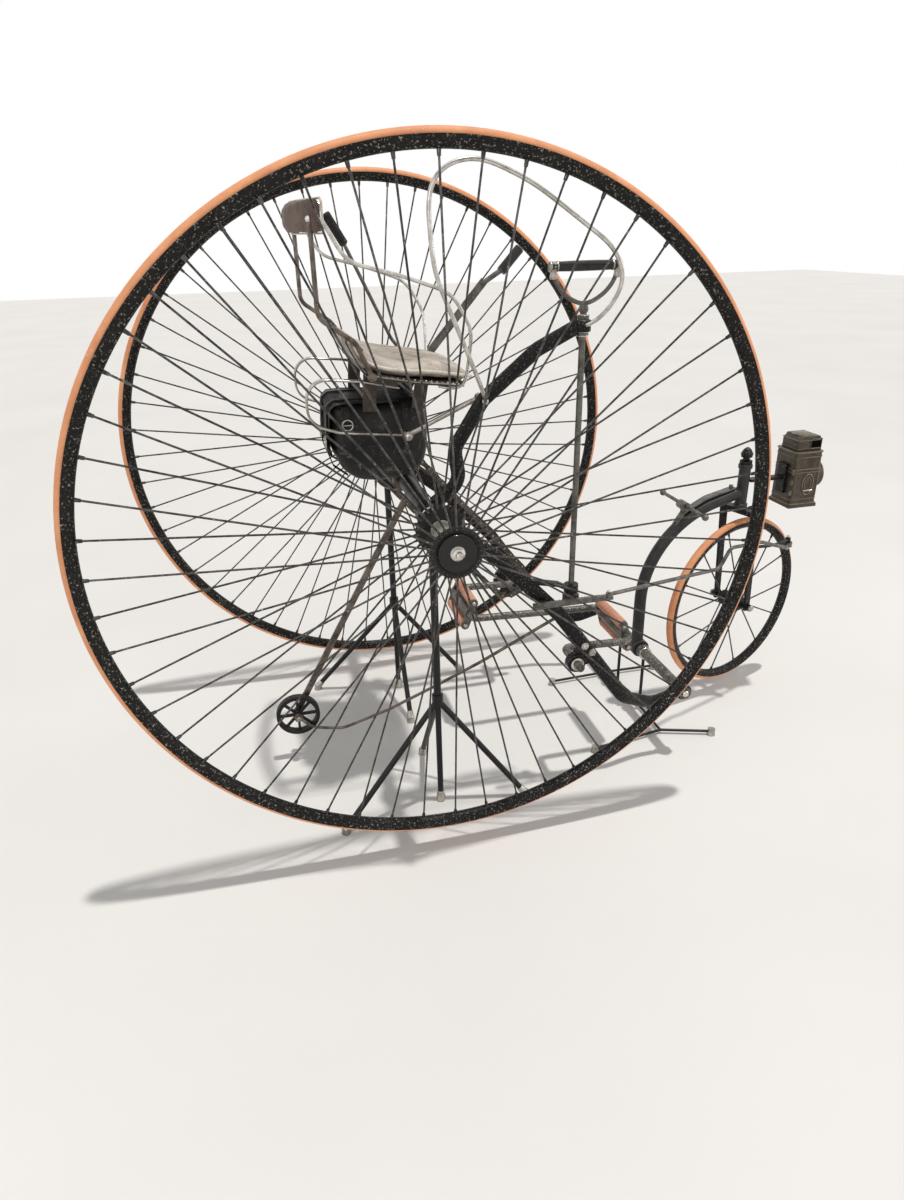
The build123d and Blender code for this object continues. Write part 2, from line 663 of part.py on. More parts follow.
# Drive chain: a closed loop of blocks and paired plates between the two sprockets
along = Vector(crank_x, 0, crank_z).normalized()
outward = Vector(-along.Z, 0, along.X)
pin_places = []
for n in range(chain_run_links):
    pin_places.append(outward * sprocket_pitch_radius + along * (n * chain_pitch))
for n in range(sprocket_teeth // 2):
    swing = pi * n / (sprocket_teeth / 2)
    rim = outward * cos(swing) + along * sin(swing)
    pin_places.append(along * chain_centres + rim * sprocket_pitch_radius)
for n in range(chain_run_links):
    pin_places.append(outward * -sprocket_pitch_radius + along * (chain_centres - n * chain_pitch))
for n in range(sprocket_teeth // 2):
    swing = pi + pi * n / (sprocket_teeth / 2)
    rim = outward * cos(swing) + along * sin(swing)
    pin_places.append(rim * sprocket_pitch_radius)


def link_outline(first, second, lateral, end_radius):
    """An eight-sided link between two pin places, drawn on a plane across Y."""
    run = second - first
    middle = axle_point + (first + second) / 2
    plane = Plane(origin=Vector(middle.X, lateral, middle.Z), x_dir=run.normalized(), z_dir=(0, 1, 0))
    half = run.length / 2
    corner = end_radius * 0.55
    return plane * make_face(Polyline(
        (-half - end_radius, -corner), (-half - corner, -end_radius), (half + corner, -end_radius),
        (half + end_radius, -corner), (half + end_radius, corner), (half + corner, end_radius),
        (-half - corner, end_radius), (-half - end_radius, corner), close=True,
    ))


axle_point = at(0, 0, 0)
links = []
for n, place in enumerate(pin_places):
    follow = pin_places[(n + 1) % len(pin_places)]
    if n % 2:
        block = link_outline(place, follow, chain_y - chain_inner_width / 2, link_half_height - 1)
        links.append(extrude(block, amount=chain_inner_width))
    else:
        for start_y in (chain_y - chain_inner_width / 2 - chain_plate, chain_y + chain_inner_width / 2):
            plate = link_outline(place, follow, start_y, link_half_height)
            links.append(extrude(plate, amount=chain_plate))
with BuildPart() as chain:
    add(links)
write(chain.part, "chain")

# Tail wheel: cast, with eight spokes
tail_centre = at(tail_x, 0, tail_z)
with BuildPart() as tail_wheel:
    with BuildSketch(side_plane(tail_width / 2)):
        with Locations((tail_x, tail_z)):
            Circle(tail_radius)
            Circle(tail_radius - 9, mode=Mode.SUBTRACT)
    extrude(amount=tail_width)
    with BuildSketch(side_plane(3)):
        with Locations((tail_x, tail_z)):
            with PolarLocations((tail_radius - 3) / 2, 8):
                Rectangle(tail_radius - 5, 6)
            Circle(12)
    extrude(amount=6)
    cross_bar(tail_x, tail_z, -tail_width / 2 - 2, tail_width / 2 + 2, 12)
    cross_bar(tail_x, tail_z, -30, 30, tail_pin_radius + shaft_gap, Mode.SUBTRACT)
write(tail_wheel.part, "tail_wheel")

# Tail stays: a flat bar from the axle casing and a bent rod from the right arm, joined by the wheel's pin
stay_y = tail_width / 2 + 9
stay_lug = (286, -262)
lower_stay = (
    (stay_lug[0], -side_y + 18, stay_lug[1]),
    (107, -236, -352),
    (16, -170, -437),
    (-83, -110, -518),
    (-190, -50, -590),
    (-258, -stay_y, -596),
    (tail_x, -stay_y, tail_z),
)
with BuildPart() as tail_stays:
    upper_low = at(tail_x, stay_y, tail_z)
    upper_mid = at(-75, stay_y, -185)
    upper_top = at(14, 6, -26)
    flat_bar([upper_low, upper_mid, upper_top], 7, 14, 60)
    cross_bar(0, 0, -8, 14, casing_radius + 9)
    cross_bar(0, 0, -40, 40, casing_radius + seat_gap, Mode.SUBTRACT)
    bent_bar([at(*place) for place in lower_stay], 3.5, [50, 90, 120, 90, 28])
    cross_bar(*stay_lug, -side_y + arm_width / 2 + seat_gap, -side_y + 25, 8)
    cross_bar(tail_x, tail_z, -stay_y - 6, stay_y + 6, tail_pin_radius)
    for side in (-1, 1):
        cross_bar(tail_x, tail_z, side * (stay_y - 4), side * (stay_y + 4), 10)
write(tail_stays.part, "tail_stays")

# Springs: a C-shaped leaf on each side from under the seat, round the back and forward to a rod
spring_y = 150
with BuildPart() as springs:
    for side in (-1, 1):
        leaf = (
            at(-30, side * spring_y, 225.3),
            at(-100, side * spring_y, 241.4),
            at(-207, side * spring_y, 252),
            at(-207, side * spring_y, 168),
            at(-150, side * spring_y, 148),
            at(-22, side * spring_y, 134),
        )
        flat_bar(leaf, 16, 4.5, [60, 38, 38, 40])
        cross_bar(-18, 134, side * (spring_y - 13), side * (spring_y + 18), 9)
    for side, rod_x, rod_z in ((-1, *right_rod_end), (1, *left_rod_end)):
        straight_bar(at(-18, side * (spring_y + 8), 134), at(rod_x, side * (side_y - 26), rod_z), 4.5)
        cross_bar(rod_x, rod_z, side * (side_y - 32), side * (side_y - 16 - seat_gap), 8)
write(springs.part, "springs")

# Seat: a wooden pan carried on two uprights, and its padded leather top
seat_side = (
    (-126, 322), (-118, 326), (-92, 288), (0, 264), (112, 246), (126, 240), (122, 226),
    (108, 224), (0, 240), (-96, 262), (-112, 272),
)
with BuildPart() as seat_pad:
    with BuildSketch(side_plane(seat_half_rear)):
        with BuildLine():
            Polyline(*seat_side, close=True)
        make_face()
    extrude(amount=2 * seat_half_rear)
    with BuildSketch(Plane(origin=at(0, 0, 0), x_dir=(1, 0, 0), z_dir=(0, 0, 1))):
        with BuildLine():
            Polyline((-140, -seat_half_rear), (-60, -seat_half_rear), (110, -seat_half_front), (140, -seat_half_front + 30),
                     (140, seat_half_front - 30), (110, seat_half_front), (-60, seat_half_rear),
                     (-140, seat_half_rear), close=True)
        make_face()
    extrude(amount=400, mode=Mode.INTERSECT)
write(seat_pad.part, "seat_pad")

# Seat frame: a slatted board under the pad, two cross rails and four legs that stand on the axle casing's saddle
rail_z = 196
rail_radius = 6
back_rail = (-86, 254.3)
back_rail_radius = 5
back_rail_half = seat_half_rear + 0.2
with BuildPart() as seat_frame:
    with BuildSketch(side_plane(seat_half_rear - 8)):
        with BuildLine():
            Polyline((-94, 261.5), (0, 239.5), (106, 223.5), (106, 214.5), (0, 230.5), (-94, 252.5), close=True)
        make_face()
    extrude(amount=2 * (seat_half_rear - 8))
    with BuildSketch(Plane(origin=at(0, 0, 0), x_dir=(1, 0, 0), z_dir=(0, 0, 1))):
        with BuildLine():
            Polyline((-94, -seat_half_rear + 8), (-60, -seat_half_rear + 8), (106, -seat_half_front + 6),
                     (106, seat_half_front - 6), (-60, seat_half_rear - 8), (-94, seat_half_rear - 8), close=True)
        make_face()
    extrude(amount=400, mode=Mode.INTERSECT)
    for side in (-1, 1):
        for x_top, z_top, x_low in ((-78, 250, -84), (24, 229, 14)):
            flat_bar([at(x_top, side * 112, z_top), at(x_low, side * 112, rail_z - 20)], 7, 26)
        with BuildSketch(side_plane(side * spring_y + 12)):
            with BuildLine():
                Polyline((-84, 252), (-34, 240), (-34, 228.7), (-84, 240.2), close=True)
            make_face()
        extrude(amount=24)
    for x in (-84, 14):
        cross_bar(x, rail_z, -112, 112, rail_radius)
    cross_bar(*back_rail, -back_rail_half, back_rail_half, back_rail_radius)
write(seat_frame.part, "seat_frame")

# Tool bag: a rounded leather case hung from the seat frame's rails
bag_top = rail_z - rail_radius - seat_gap
bag_low = 26
bag_half = 100
with BuildPart() as tool_bag:
    with BuildSketch(side_plane(bag_half)):
        with BuildLine():
            Polyline((-158, bag_top - 8), (-150, bag_top), (22, bag_top), (34, bag_top - 10), (38, 90), (20, 44),
                     (-14, bag_low), (-104, bag_low), (-140, 44), (-156, 84), close=True)
        make_face()
    extrude(amount=2 * bag_half)
write(tool_bag.part, "tool_bag")

# Backrest: two bent rods from the seat board and a curved pad across them
rod_y = seat_half_rear + 7
rod_radius = 4.5
rod_back_x = -176
rod_route = (back_rail, (-112, 316), (rod_back_x, 362), (rod_back_x, 520))
with BuildPart() as backrest_rods:
    for side in (-1, 1):
        bent_bar([at(x, side * rod_y, z) for x, z in rod_route], rod_radius, 28)
        cross_bar(*back_rail, side * (back_rail_half + seat_gap), side * (rod_y + 6), 8)
write(backrest_rods.part, "backrest_rods")

arm_y = rod_y + 21
arm_rod_radius = 3.5
pad_low, pad_high = 496, 552
pad_half = arm_y - arm_rod_radius - seat_gap
pad_back_x = rod_back_x + rod_radius + seat_gap
pad_thick = 18
pad_bow = 38
with BuildPart() as backrest_pad:
    with BuildSketch(Plane(origin=at(0, 0, pad_low))):
        with BuildLine():
            back_end = (pad_back_x + 2.5, pad_half)
            front_end = (pad_back_x + pad_thick, pad_half)
            back_start = (pad_back_x + 2.5, -pad_half)
            front_start = (pad_back_x + pad_thick, -pad_half)
            ThreePointArc(front_start, (pad_back_x + pad_thick - pad_bow, 0), front_end)
            Line(front_end, back_end)
            ThreePointArc(back_end, (pad_back_x - pad_bow, 0), back_start)
            Line(back_start, front_start)
        make_face()
    extrude(amount=pad_high - pad_low)
    for side in (-1, 1):
        rod_top = at(rod_back_x, side * rod_y, pad_high)
        straight_bar(at(rod_back_x, side * rod_y, pad_low - 4), rod_top, rod_radius + seat_gap, Mode.SUBTRACT)
write(backrest_pad.part, "backrest_pad")

# Armrests: a rod each side from the backrest, dipping forward and down to the seat board
with BuildPart() as armrests:
    for side in (-1, 1):
        route = (
            at(-160, side * arm_y, 522),
            at(-122, side * (arm_y + 4), 452),
            at(-30, side * (arm_y + 6), 428),
            at(62, side * (arm_y + 6), 396),
            at(102, side * (arm_y - 4), 330),
            at(97, side * (seat_half_front + 39), 228),
            at(84, side * (seat_half_front + 11), 214),
            at(56, side * (seat_half_front - 13), 218.2),
        )
        bent_bar(route, arm_rod_radius, [30, 60, 40, 50, 14, 14])
write(armrests.part, "armrests")

# Brake post: the left arm's upright, with the pin of the two hand levers
pivot_x, pivot_z = 84, 194
lever_y = side_y - 20
rear_lever_y = lever_y - 12
brake_route = ((8, 22), (44, 70), (52, 130), (pivot_x, pivot_z - 4))
with BuildPart() as brake_post:
    oval_bar([at(x, side_y, z) for x, z in brake_route], 15, 28, 30)
    cross_bar(pivot_x, pivot_z, side_y - 9, side_y + 9, 15)
    cross_bar(*left_rod_end, side_y - 16, side_y + 9, 7)
    cross_bar(pivot_x, pivot_z, rear_lever_y - 8, side_y + 9, 6)
    cross_bar(0, 0, side_y - 30, side_y + 30, boss_radius + seat_gap, Mode.SUBTRACT)
write(brake_post.part, "brake_post")

pull_foot = (pull_x, drum_start + drum_width / 2, band_radius + 1 + pull_lug + seat_gap)
with BuildPart() as brake_lever:
    flat_bar([at(57, lever_y, 164), at(256, lever_y, 388)], 5, 18)
    straight_bar(at(250, lever_y, 381), at(300, lever_y, 411), 6)
    straight_bar(at(296, lever_y, 406), at(342, lever_y, 455), 11)
    cross_bar(pivot_x, pivot_z, lever_y - 4, lever_y + 4, 13)
    cross_bar(pivot_x, pivot_z, lever_y - 20, lever_y + 20, 6 + seat_gap, Mode.SUBTRACT)
    straight_bar(at(60, lever_y, 167), at(*pull_foot) + Vector(0, 0, 5), 3)
    straight_bar(at(*pull_foot), at(*pull_foot) + Vector(0, 0, 10), 5)
write(brake_lever.part, "brake_lever")

# Rear lever: a slim rod with a long grip, on the same pin, leaning back past the seat's left side
with BuildPart() as rear_lever:
    bent_bar([at(pivot_x, rear_lever_y, pivot_z), at(24, rear_lever_y - 8, 273), at(-72, rear_lever_y - 20, 478)], 4, 60)
    straight_bar(at(-70, rear_lever_y - 20, 474), at(-106, rear_lever_y - 24, 534), 9)
    cross_bar(pivot_x, pivot_z, rear_lever_y - 4, rear_lever_y + 4, 11)
    cross_bar(pivot_x, pivot_z, rear_lever_y - 20, rear_lever_y + 20, 6 + seat_gap, Mode.SUBTRACT)
write(rear_lever.part, "rear_lever")

# Dress guard: a hoop of rod from the handle post over the wheel's inner side to the column's bearing
guard_y = 59 - track_half
with BuildPart() as dress_guard:
    route = (
        at(right_rod_end[0], -side_y - 16 - seat_gap, right_rod_end[1]),
        at(right_rod_end[0], -side_y - 29, right_rod_end[1]),
        at(70, -side_y - 46, 295),
        at(0, guard_y, 439),
        at(-8, guard_y, 584),
        at(75, guard_y, 603),
        at(168, guard_y, 563),
        at(316, guard_y, 464),
        at(339, guard_y + 2, 412),
        at(316, -side_y - 46, 350),
        at(column_x, -side_y - 27, bearing_low + 13),
        at(column_x, -side_y - 15 - seat_gap, bearing_low + 13),
    )
    bent_bar(route, 4, [6, 60, 90, 50, 70, 80, 24, 24, 16, 8])
write(dress_guard.part, "dress_guard")

# Lamp: a tin box with a vent on top, a hood, a round lens in front and its bracket on the steering head
lamp_x, lamp_z = 1004, -156
lamp_half_x, lamp_half_y, lamp_tall = 37, 40, 134
lamp_top = lamp_z + 8 + lamp_tall
lens_z = lamp_z + 75
lens_ring = 17
with BuildPart() as lamp_body:
    with BuildSketch(Plane(origin=at(lamp_x, 0, lamp_z))):
        Rectangle(2 * lamp_half_x + 4, 2 * lamp_half_y + 4)
    extrude(amount=8)
    with BuildSketch(Plane(origin=at(lamp_x, 0, lamp_z + 8))):
        RectangleRounded(2 * lamp_half_x, 2 * lamp_half_y, 7)
    extrude(amount=lamp_tall)
    with BuildSketch(side_plane(lamp_half_y - 8)):
        with BuildLine():
            Polyline((lamp_x - 30, lamp_top - 2), (lamp_x - 30, lamp_top + 22), (lamp_x - 20, lamp_top + 36),
                     (lamp_x + 26, lamp_top + 36), (lamp_x + 34, lamp_top + 24), (lamp_x + 34, lamp_top - 2), close=True)
        make_face()
    extrude(amount=2 * (lamp_half_y - 8))
    with BuildSketch(side_plane(lamp_half_y - 12)):
        with BuildLine():
            Polyline((lamp_x, lamp_top + 6), (lamp_x, lamp_top + 28), (lamp_x + 50, lamp_top + 28),
                     (lamp_x + 50, lamp_top + 6), close=True)
        make_face()
    extrude(amount=2 * (lamp_half_y - 12), mode=Mode.SUBTRACT)
    ring_start = at(lamp_x + lamp_half_x - 1, 0, lens_z)
    straight_bar(ring_start, ring_start + Vector(lens_ring, 0, 0), 33)
    straight_bar(ring_start + Vector(lens_ring - 8, 0, 0), ring_start + Vector(lens_ring + 8, 0, 0), 27, Mode.SUBTRACT)
write(lamp_body.part, "lamp_body")

lens_radius = 26.5
lens_edge = 5
lens_bulge = 12
lens_curve = (lens_radius**2 + lens_bulge**2) / (2 * lens_bulge)
lens_half_angle = asin(lens_radius / lens_curve) / 2
with BuildPart() as lamp_lens:
    lens_base = at(lamp_x + lamp_half_x + lens_ring - 9 + seat_gap, 0, lens_z)
    lens_tip = lens_edge + lens_bulge
    lens_middle = (lens_tip - lens_curve * (1 - cos(lens_half_angle)), lens_curve * sin(lens_half_angle))
    with BuildSketch(Plane(origin=lens_base, x_dir=(1, 0, 0), z_dir=(0, -1, 0))):
        with BuildLine():
            Polyline((lens_tip, 0), (0, 0), (0, lens_radius), (lens_edge, lens_radius))
            ThreePointArc((lens_edge, lens_radius), lens_middle, (lens_tip, 0))
        make_face()
    revolve(axis=Axis(lens_base, (1, 0, 0)))
write(lamp_lens.part, "lamp_lens")

bracket_z = -84
plate_x = lamp_x - lamp_half_x - seat_gap - 3.5
with BuildPart() as lamp_bracket:
    flat_bar([at(head_x + head_radius + seat_gap, 0, bracket_z), at(plate_x, 0, bracket_z)], 22, 7)
    with BuildSketch(Plane(origin=at(plate_x, 0, bracket_z - 38))):
        Rectangle(7, 30)
    extrude(amount=74)
write(lamp_bracket.part, "lamp_bracket")

# Display stands: one under each axle boss and one under the cross tube
stand_top = -boss_radius - seat_gap
split_z = -418
stand_feet = ((-222, 53), (190, 38), (0, -185))
for side, name in ((-1, "right"), (1, "left")):
    with BuildPart() as stand:
        head = at(stand_x, side * side_y, stand_top)
        split = at(stand_x, side * side_y, split_z)
        base = at(stand_x, side * side_y, floor_z)
        straight_bar(head, split, stand_radius)
        straight_bar(head, head - Vector(0, 0, 8), stand_radius + 3)
        straight_bar(split + Vector(0, 0, 14), split - Vector(0, 0, 14), stand_radius + 4)
        straight_bar(split, base, leg_radius)
        for foot_x, foot_out in stand_feet:
            foot = at(foot_x, side * (side_y + foot_out), floor_z + foot_height)
            straight_bar(split, foot, leg_radius)
            straight_bar(foot + Vector(0, 0, 4), foot - Vector(0, 0, foot_height), leg_radius + 3)
        straight_bar(base, base + Vector(0, 0, foot_height), leg_radius + 3)
        under_arm = [at(x, side * y, z) for x, y, z in arm_route]
        oval_bar(under_arm, arm_width + 2 * seat_gap, arm_height + 2 * seat_gap, arm_bend, Mode.SUBTRACT)
    write(stand.part, f"stand_{name}")

base_z = floor_z + foot_height
front_junctions = {-156: ((-191, -29), (121, -41)), 154: ((-179, -7), (135, -4))}
with BuildPart() as stand_front:
    straight_bar(at(cross_x, min(front_junctions), base_z), at(cross_x, max(front_junctions), base_z), front_leg_radius)
    for y, feet in front_junctions.items():
        junction = at(cross_x, y, base_z)
        with Locations(junction):
            Sphere(front_leg_radius + 1)
        for ahead_by, left_by in feet:
            foot = junction + Vector(ahead_by, left_by, 0)
            straight_bar(junction, foot, front_leg_radius)
            straight_bar(foot - Vector(0, 0, foot_height), foot + Vector(0, 0, 5), front_leg_radius + 5)
    for y in stand_rods:
        straight_bar(at(cross_x, y, base_z), at(cross_x, y, cross_z - cross_radius - 4 - seat_gap), 4)
write(stand_front.part, "stand_front")
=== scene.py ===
import json
from math import copysign, cos, exp, pi, radians, sin, tan

import bmesh
import bpy
from mathutils import Matrix, Vector, noise


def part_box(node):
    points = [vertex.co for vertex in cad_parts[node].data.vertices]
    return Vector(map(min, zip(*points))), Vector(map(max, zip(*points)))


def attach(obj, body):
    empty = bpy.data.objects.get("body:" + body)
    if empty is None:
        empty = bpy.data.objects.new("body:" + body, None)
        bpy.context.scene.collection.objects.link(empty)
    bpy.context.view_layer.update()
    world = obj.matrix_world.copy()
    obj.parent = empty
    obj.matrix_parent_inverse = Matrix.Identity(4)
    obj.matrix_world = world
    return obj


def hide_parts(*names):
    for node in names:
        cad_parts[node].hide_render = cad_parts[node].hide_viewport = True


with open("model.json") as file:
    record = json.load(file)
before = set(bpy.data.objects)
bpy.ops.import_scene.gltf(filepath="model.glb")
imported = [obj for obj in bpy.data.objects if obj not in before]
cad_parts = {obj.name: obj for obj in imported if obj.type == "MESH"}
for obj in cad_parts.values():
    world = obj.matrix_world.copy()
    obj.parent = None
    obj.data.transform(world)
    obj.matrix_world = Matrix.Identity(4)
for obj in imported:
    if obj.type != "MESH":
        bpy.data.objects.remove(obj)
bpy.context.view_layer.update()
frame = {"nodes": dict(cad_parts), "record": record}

AHEAD, ACROSS, UP = Vector((1, 0, 0)), Vector((0, 1, 0)), Vector((0, 0, 1))
HANDS = (("right", -1), ("left", 1))

# Places are given in millimetres from the centre of the driving axle
LOW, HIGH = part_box("tyre_right")
AXLE = (LOW + HIGH) / 2
FLOOR = -AXLE.z * 1000
TRACK = -AXLE.y * 1000
WHEEL_RADIUS = (HIGH.z - LOW.z) * 500
SIDE = 258
CRANK = Vector((316.4, 0, -374.4))
THROW, SLOPE = 165, radians(-2.5)
THROW_X, THROW_Z = THROW * cos(SLOPE), THROW * sin(SLOPE)
CROSS_X, CROSS_Y, CROSS_Z = 604, 236, -511
STEER_REST = radians(16.5)
HEAD_X = 855
COLUMN_X, GRIP_Z = 298, 435
HANDLE_BOLT = (107, 212)
BRAKE_BOLT = (54, 136)
BRAKE_PIVOT = (84, 194)
SPRING_EYE = (-18, 134)
BACKREST_EYE = (-86, 254.3)


def at(x, y, z):
    return Vector((AXLE.x + x / 1000, y / 1000, AXLE.z + z / 1000))


def spot_on(place, y):
    """A point from an (x, z) place and its distance to the left."""
    return at(place[0], y, place[1])


def flat(points, y):
    """A line in one plane across Y, from (x, z) places."""
    return [spot_on(place, y) for place in points]


def line(points, side):
    """A line from (x, distance from the middle, z) places, on one side of the middle."""
    return [at(x, side * y, z) for x, y, z in points]


# Materials
MATERIALS = {}


def wire(tree, node, values):
    """Gives a node's inputs their values, each a constant or another node's output."""
    for name, value in values.items():
        if isinstance(value, bpy.types.NodeSocket):
            tree.links.new(value, node.inputs[name])
        else:
            node.inputs[name].default_value = value
    return node


def add(tree, kind, values, **settings):
    node = tree.nodes.new(kind)
    for name, value in settings.items():
        setattr(node, name, value)
    return wire(tree, node, values)


def ramp(tree, source, low, high):
    """Black below the low value and white above the high one."""
    node = add(tree, "ShaderNodeValToRGB", {0: source})
    for element, place, tone in zip(node.color_ramp.elements, (low, high), (0, 1)):
        element.position = place
        element.color = (tone, tone, tone, 1)
    return node.outputs[0]


def noise_node(tree, vector, scale, detail=6, rough=0.6, distortion=0.0):
    values = {"Vector": vector, "Scale": scale, "Detail": detail, "Roughness": rough,
              "Distortion": distortion}
    return add(tree, "ShaderNodeTexNoise", values).outputs["Fac"]


def mix(tree, factor, a, b):
    a, b = ((*tone, 1) if isinstance(tone, tuple) else tone for tone in (a, b))
    return add(tree, "ShaderNodeMix", {0: factor, 6: a, 7: b}, data_type="RGBA").outputs[2]


def remap(tree, source, low, high):
    """Spreads the middle of a noise between two values."""
    values = {"Value": source, "From Min": 0.3, "From Max": 0.7, "To Min": low, "To Max": high}
    return add(tree, "ShaderNodeMapRange", values).outputs["Result"]


def bump(tree, height, distance):
    return add(tree, "ShaderNodeBump", {"Strength": 1.0, "Distance": distance, "Height": height}).outputs[0]


def new_material(name):
    material = bpy.data.materials.new(name)
    MATERIALS[name] = material
    material.use_nodes = True
    tree = material.node_tree
    return tree, tree.nodes["Principled BSDF"], tree.nodes.new("ShaderNodeTexCoord").outputs["Object"]


def worn(name, first, second, speck, speck_at, metallic, rough,
         patch=26, grain=420, depth=0.0002, shine=0.5):
    """A worn finish: patches of two tones, small specks of a third, uneven gloss and fine pitting."""
    tree, bsdf, place = new_material(name)
    patches = noise_node(tree, place, patch, 8, 0.62, 0.4)
    grains = noise_node(tree, place, grain, 5, 0.7)
    colour = mix(tree, ramp(tree, patches, 0.38, 0.62), first, second)
    colour = mix(tree, ramp(tree, grains, speck_at, speck_at + 0.08), colour, speck)
    wire(tree, bsdf, {"Base Color": colour, "Metallic": metallic, "Specular IOR Level": shine,
                      "Roughness": remap(tree, patches, *rough), "Normal": bump(tree, grains, depth)})


def rubber(name, light, dark, dust):
    """Old solid rubber: faded and dirty patches, dust and fine crazing."""
    tree, bsdf, place = new_material(name)
    patches = noise_node(tree, place, 14, 9, 0.66, 0.6)
    fine = noise_node(tree, place, 240, 6, 0.7)
    colour = mix(tree, ramp(tree, patches, 0.34, 0.66), light, dark)
    colour = mix(tree, ramp(tree, fine, 0.6, 0.72), colour, dust)
    wire(tree, bsdf, {"Base Color": colour, "Roughness": remap(tree, fine, 0.45, 0.72),
                      "Normal": bump(tree, fine, 0.0003)})


def leather(name, worn_tone, body_tone, crease_tone, cell, depth, rough=(0.42, 0.66), shine=0.4):
    """Leather: pebbled grain, rubbed patches and creases."""
    tree, bsdf, place = new_material(name)
    rubbed = noise_node(tree, place, 11, 7, 0.6, 0.8)
    creases = noise_node(tree, place, 34, 10, 0.72, 1.6)
    pebble = add(tree, "ShaderNodeTexVoronoi", {"Scale": cell, "Vector": place}, feature="DISTANCE_TO_EDGE")
    colour = mix(tree, ramp(tree, rubbed, 0.36, 0.64), worn_tone, body_tone)
    colour = mix(tree, ramp(tree, creases, 0.56, 0.68), colour, crease_tone)
    grain = ramp(tree, pebble.outputs["Distance"], 0.0, 0.12)
    wire(tree, bsdf, {"Base Color": colour, "Specular IOR Level": shine,
                      "Roughness": remap(tree, rubbed, *rough),
                      "Normal": bump(tree, mix(tree, 0.45, grain, creases), depth)})


def wood(name, light, dark):
    tree, bsdf, place = new_material(name)
    stretch = add(tree, "ShaderNodeMapping", {"Scale": (1, 0.08, 1), "Vector": place})
    grain = noise_node(tree, stretch.outputs[0], 160, 8, 0.62, 0.5)
    wire(tree, bsdf, {"Base Color": mix(tree, ramp(tree, grain, 0.38, 0.62), light, dark),
                      "Roughness": remap(tree, grain, 0.4, 0.6), "Normal": bump(tree, grain, 0.0002)})


def glass(name, clear, dirty):
    tree, bsdf, place = new_material(name)
    film = noise_node(tree, place, 90, 6, 0.6)
    colour = mix(tree, ramp(tree, film, 0.4, 0.7), clear, dirty)
    wire(tree, bsdf, {"Base Color": colour, "Transmission Weight": 0.35, "IOR": 1.5,
                      "Roughness": remap(tree, film, 0.04, 0.16)})


worn("black_enamel", (0.004, 0.004, 0.0045), (0.009, 0.0085, 0.008), (0.26, 0.235, 0.2), 0.585, 0.0,
     (0.3, 0.5), grain=260, shine=0.2)
worn("stand_black", (0.012, 0.012, 0.013), (0.018, 0.018, 0.019), (0.04, 0.04, 0.04), 0.7, 0.0, (0.34, 0.46),
     depth=0.00005, shine=0.25)
worn("worn_nickel", (0.5, 0.48, 0.44), (0.27, 0.24, 0.2), (0.07, 0.055, 0.045), 0.64, 0.96, (0.2, 0.42),
     patch=34, depth=0.00008)
worn("brown_nickel", (0.2, 0.165, 0.135), (0.075, 0.06, 0.05), (0.42, 0.38, 0.33), 0.66, 0.85, (0.26, 0.5),
     patch=44)
worn("worn_steel", (0.42, 0.38, 0.33), (0.2, 0.17, 0.14), (0.07, 0.05, 0.04), 0.57, 0.85, (0.36, 0.62),
     patch=48, grain=300)
worn("dark_spokes", (0.1, 0.094, 0.088), (0.03, 0.027, 0.025), (0.42, 0.39, 0.35), 0.6, 0.85, (0.24, 0.42),
     patch=60, grain=260)
worn("cast_dark", (0.014, 0.013, 0.013), (0.035, 0.031, 0.028), (0.14, 0.12, 0.1), 0.6, 0.2, (0.45, 0.7),
     patch=40, grain=260, depth=0.0004, shine=0.2)
worn("chain_steel", (0.14, 0.12, 0.1), (0.06, 0.05, 0.042), (0.26, 0.22, 0.18), 0.62, 0.8, (0.35, 0.6),
     patch=70, grain=500)
worn("lamp_tin", (0.04, 0.033, 0.024), (0.085, 0.07, 0.05), (0.24, 0.2, 0.14), 0.6, 0.5, (0.3, 0.55),
     patch=60, grain=380)
worn("black_grip", (0.01, 0.009, 0.009), (0.02, 0.017, 0.015), (0.06, 0.05, 0.045), 0.68, 0.0, (0.14, 0.26),
     depth=0.00004, shine=0.4)
rubber("tan_rubber", (0.88, 0.4, 0.19), (0.68, 0.26, 0.115), (0.92, 0.6, 0.4))
rubber("red_rubber", (0.66, 0.32, 0.2), (0.46, 0.19, 0.12), (0.72, 0.46, 0.34))
leather("seat_leather", (0.6, 0.54, 0.46), (0.25, 0.2, 0.155), (0.11, 0.08, 0.062), 420, 0.0006)
leather("brown_leather", (0.15, 0.09, 0.062), (0.085, 0.052, 0.038), (0.035, 0.022, 0.017), 380, 0.0005)
leather("bag_leather", (0.03, 0.027, 0.026), (0.009, 0.009, 0.01), (0.15, 0.13, 0.11), 300, 0.0008,
        (0.34, 0.58), 0.25)
wood("board_wood", (0.06, 0.04, 0.028), (0.028, 0.019, 0.014))
glass("lens_glass", (0.34, 0.34, 0.3), (0.2, 0.19, 0.16))
worn("rim_enamel", (0.004, 0.004, 0.004), (0.012, 0.011, 0.01), (0.36, 0.33, 0.28), 0.575, 0.0, (0.3, 0.55),
     grain=240, shine=0.18)
worn("grey_enamel", (0.022, 0.022, 0.023), (0.04, 0.039, 0.038), (0.12, 0.11, 0.1), 0.66, 0.0, (0.34, 0.55),
     shine=0.3)
worn("flaked_enamel", (0.04, 0.037, 0.034), (0.13, 0.12, 0.105), (0.4, 0.37, 0.32), 0.54, 0.3, (0.3, 0.6),
     patch=60, grain=240, depth=0.0004)
worn("pale_trim", (0.8, 0.74, 0.64), (0.58, 0.5, 0.41), (0.16, 0.12, 0.09), 0.6, 0.1, (0.3, 0.6), patch=80)
worn("bright_nickel", (0.7, 0.68, 0.64), (0.42, 0.39, 0.35), (0.12, 0.1, 0.08), 0.68, 0.98, (0.12, 0.28),
     patch=50, depth=0.00006)
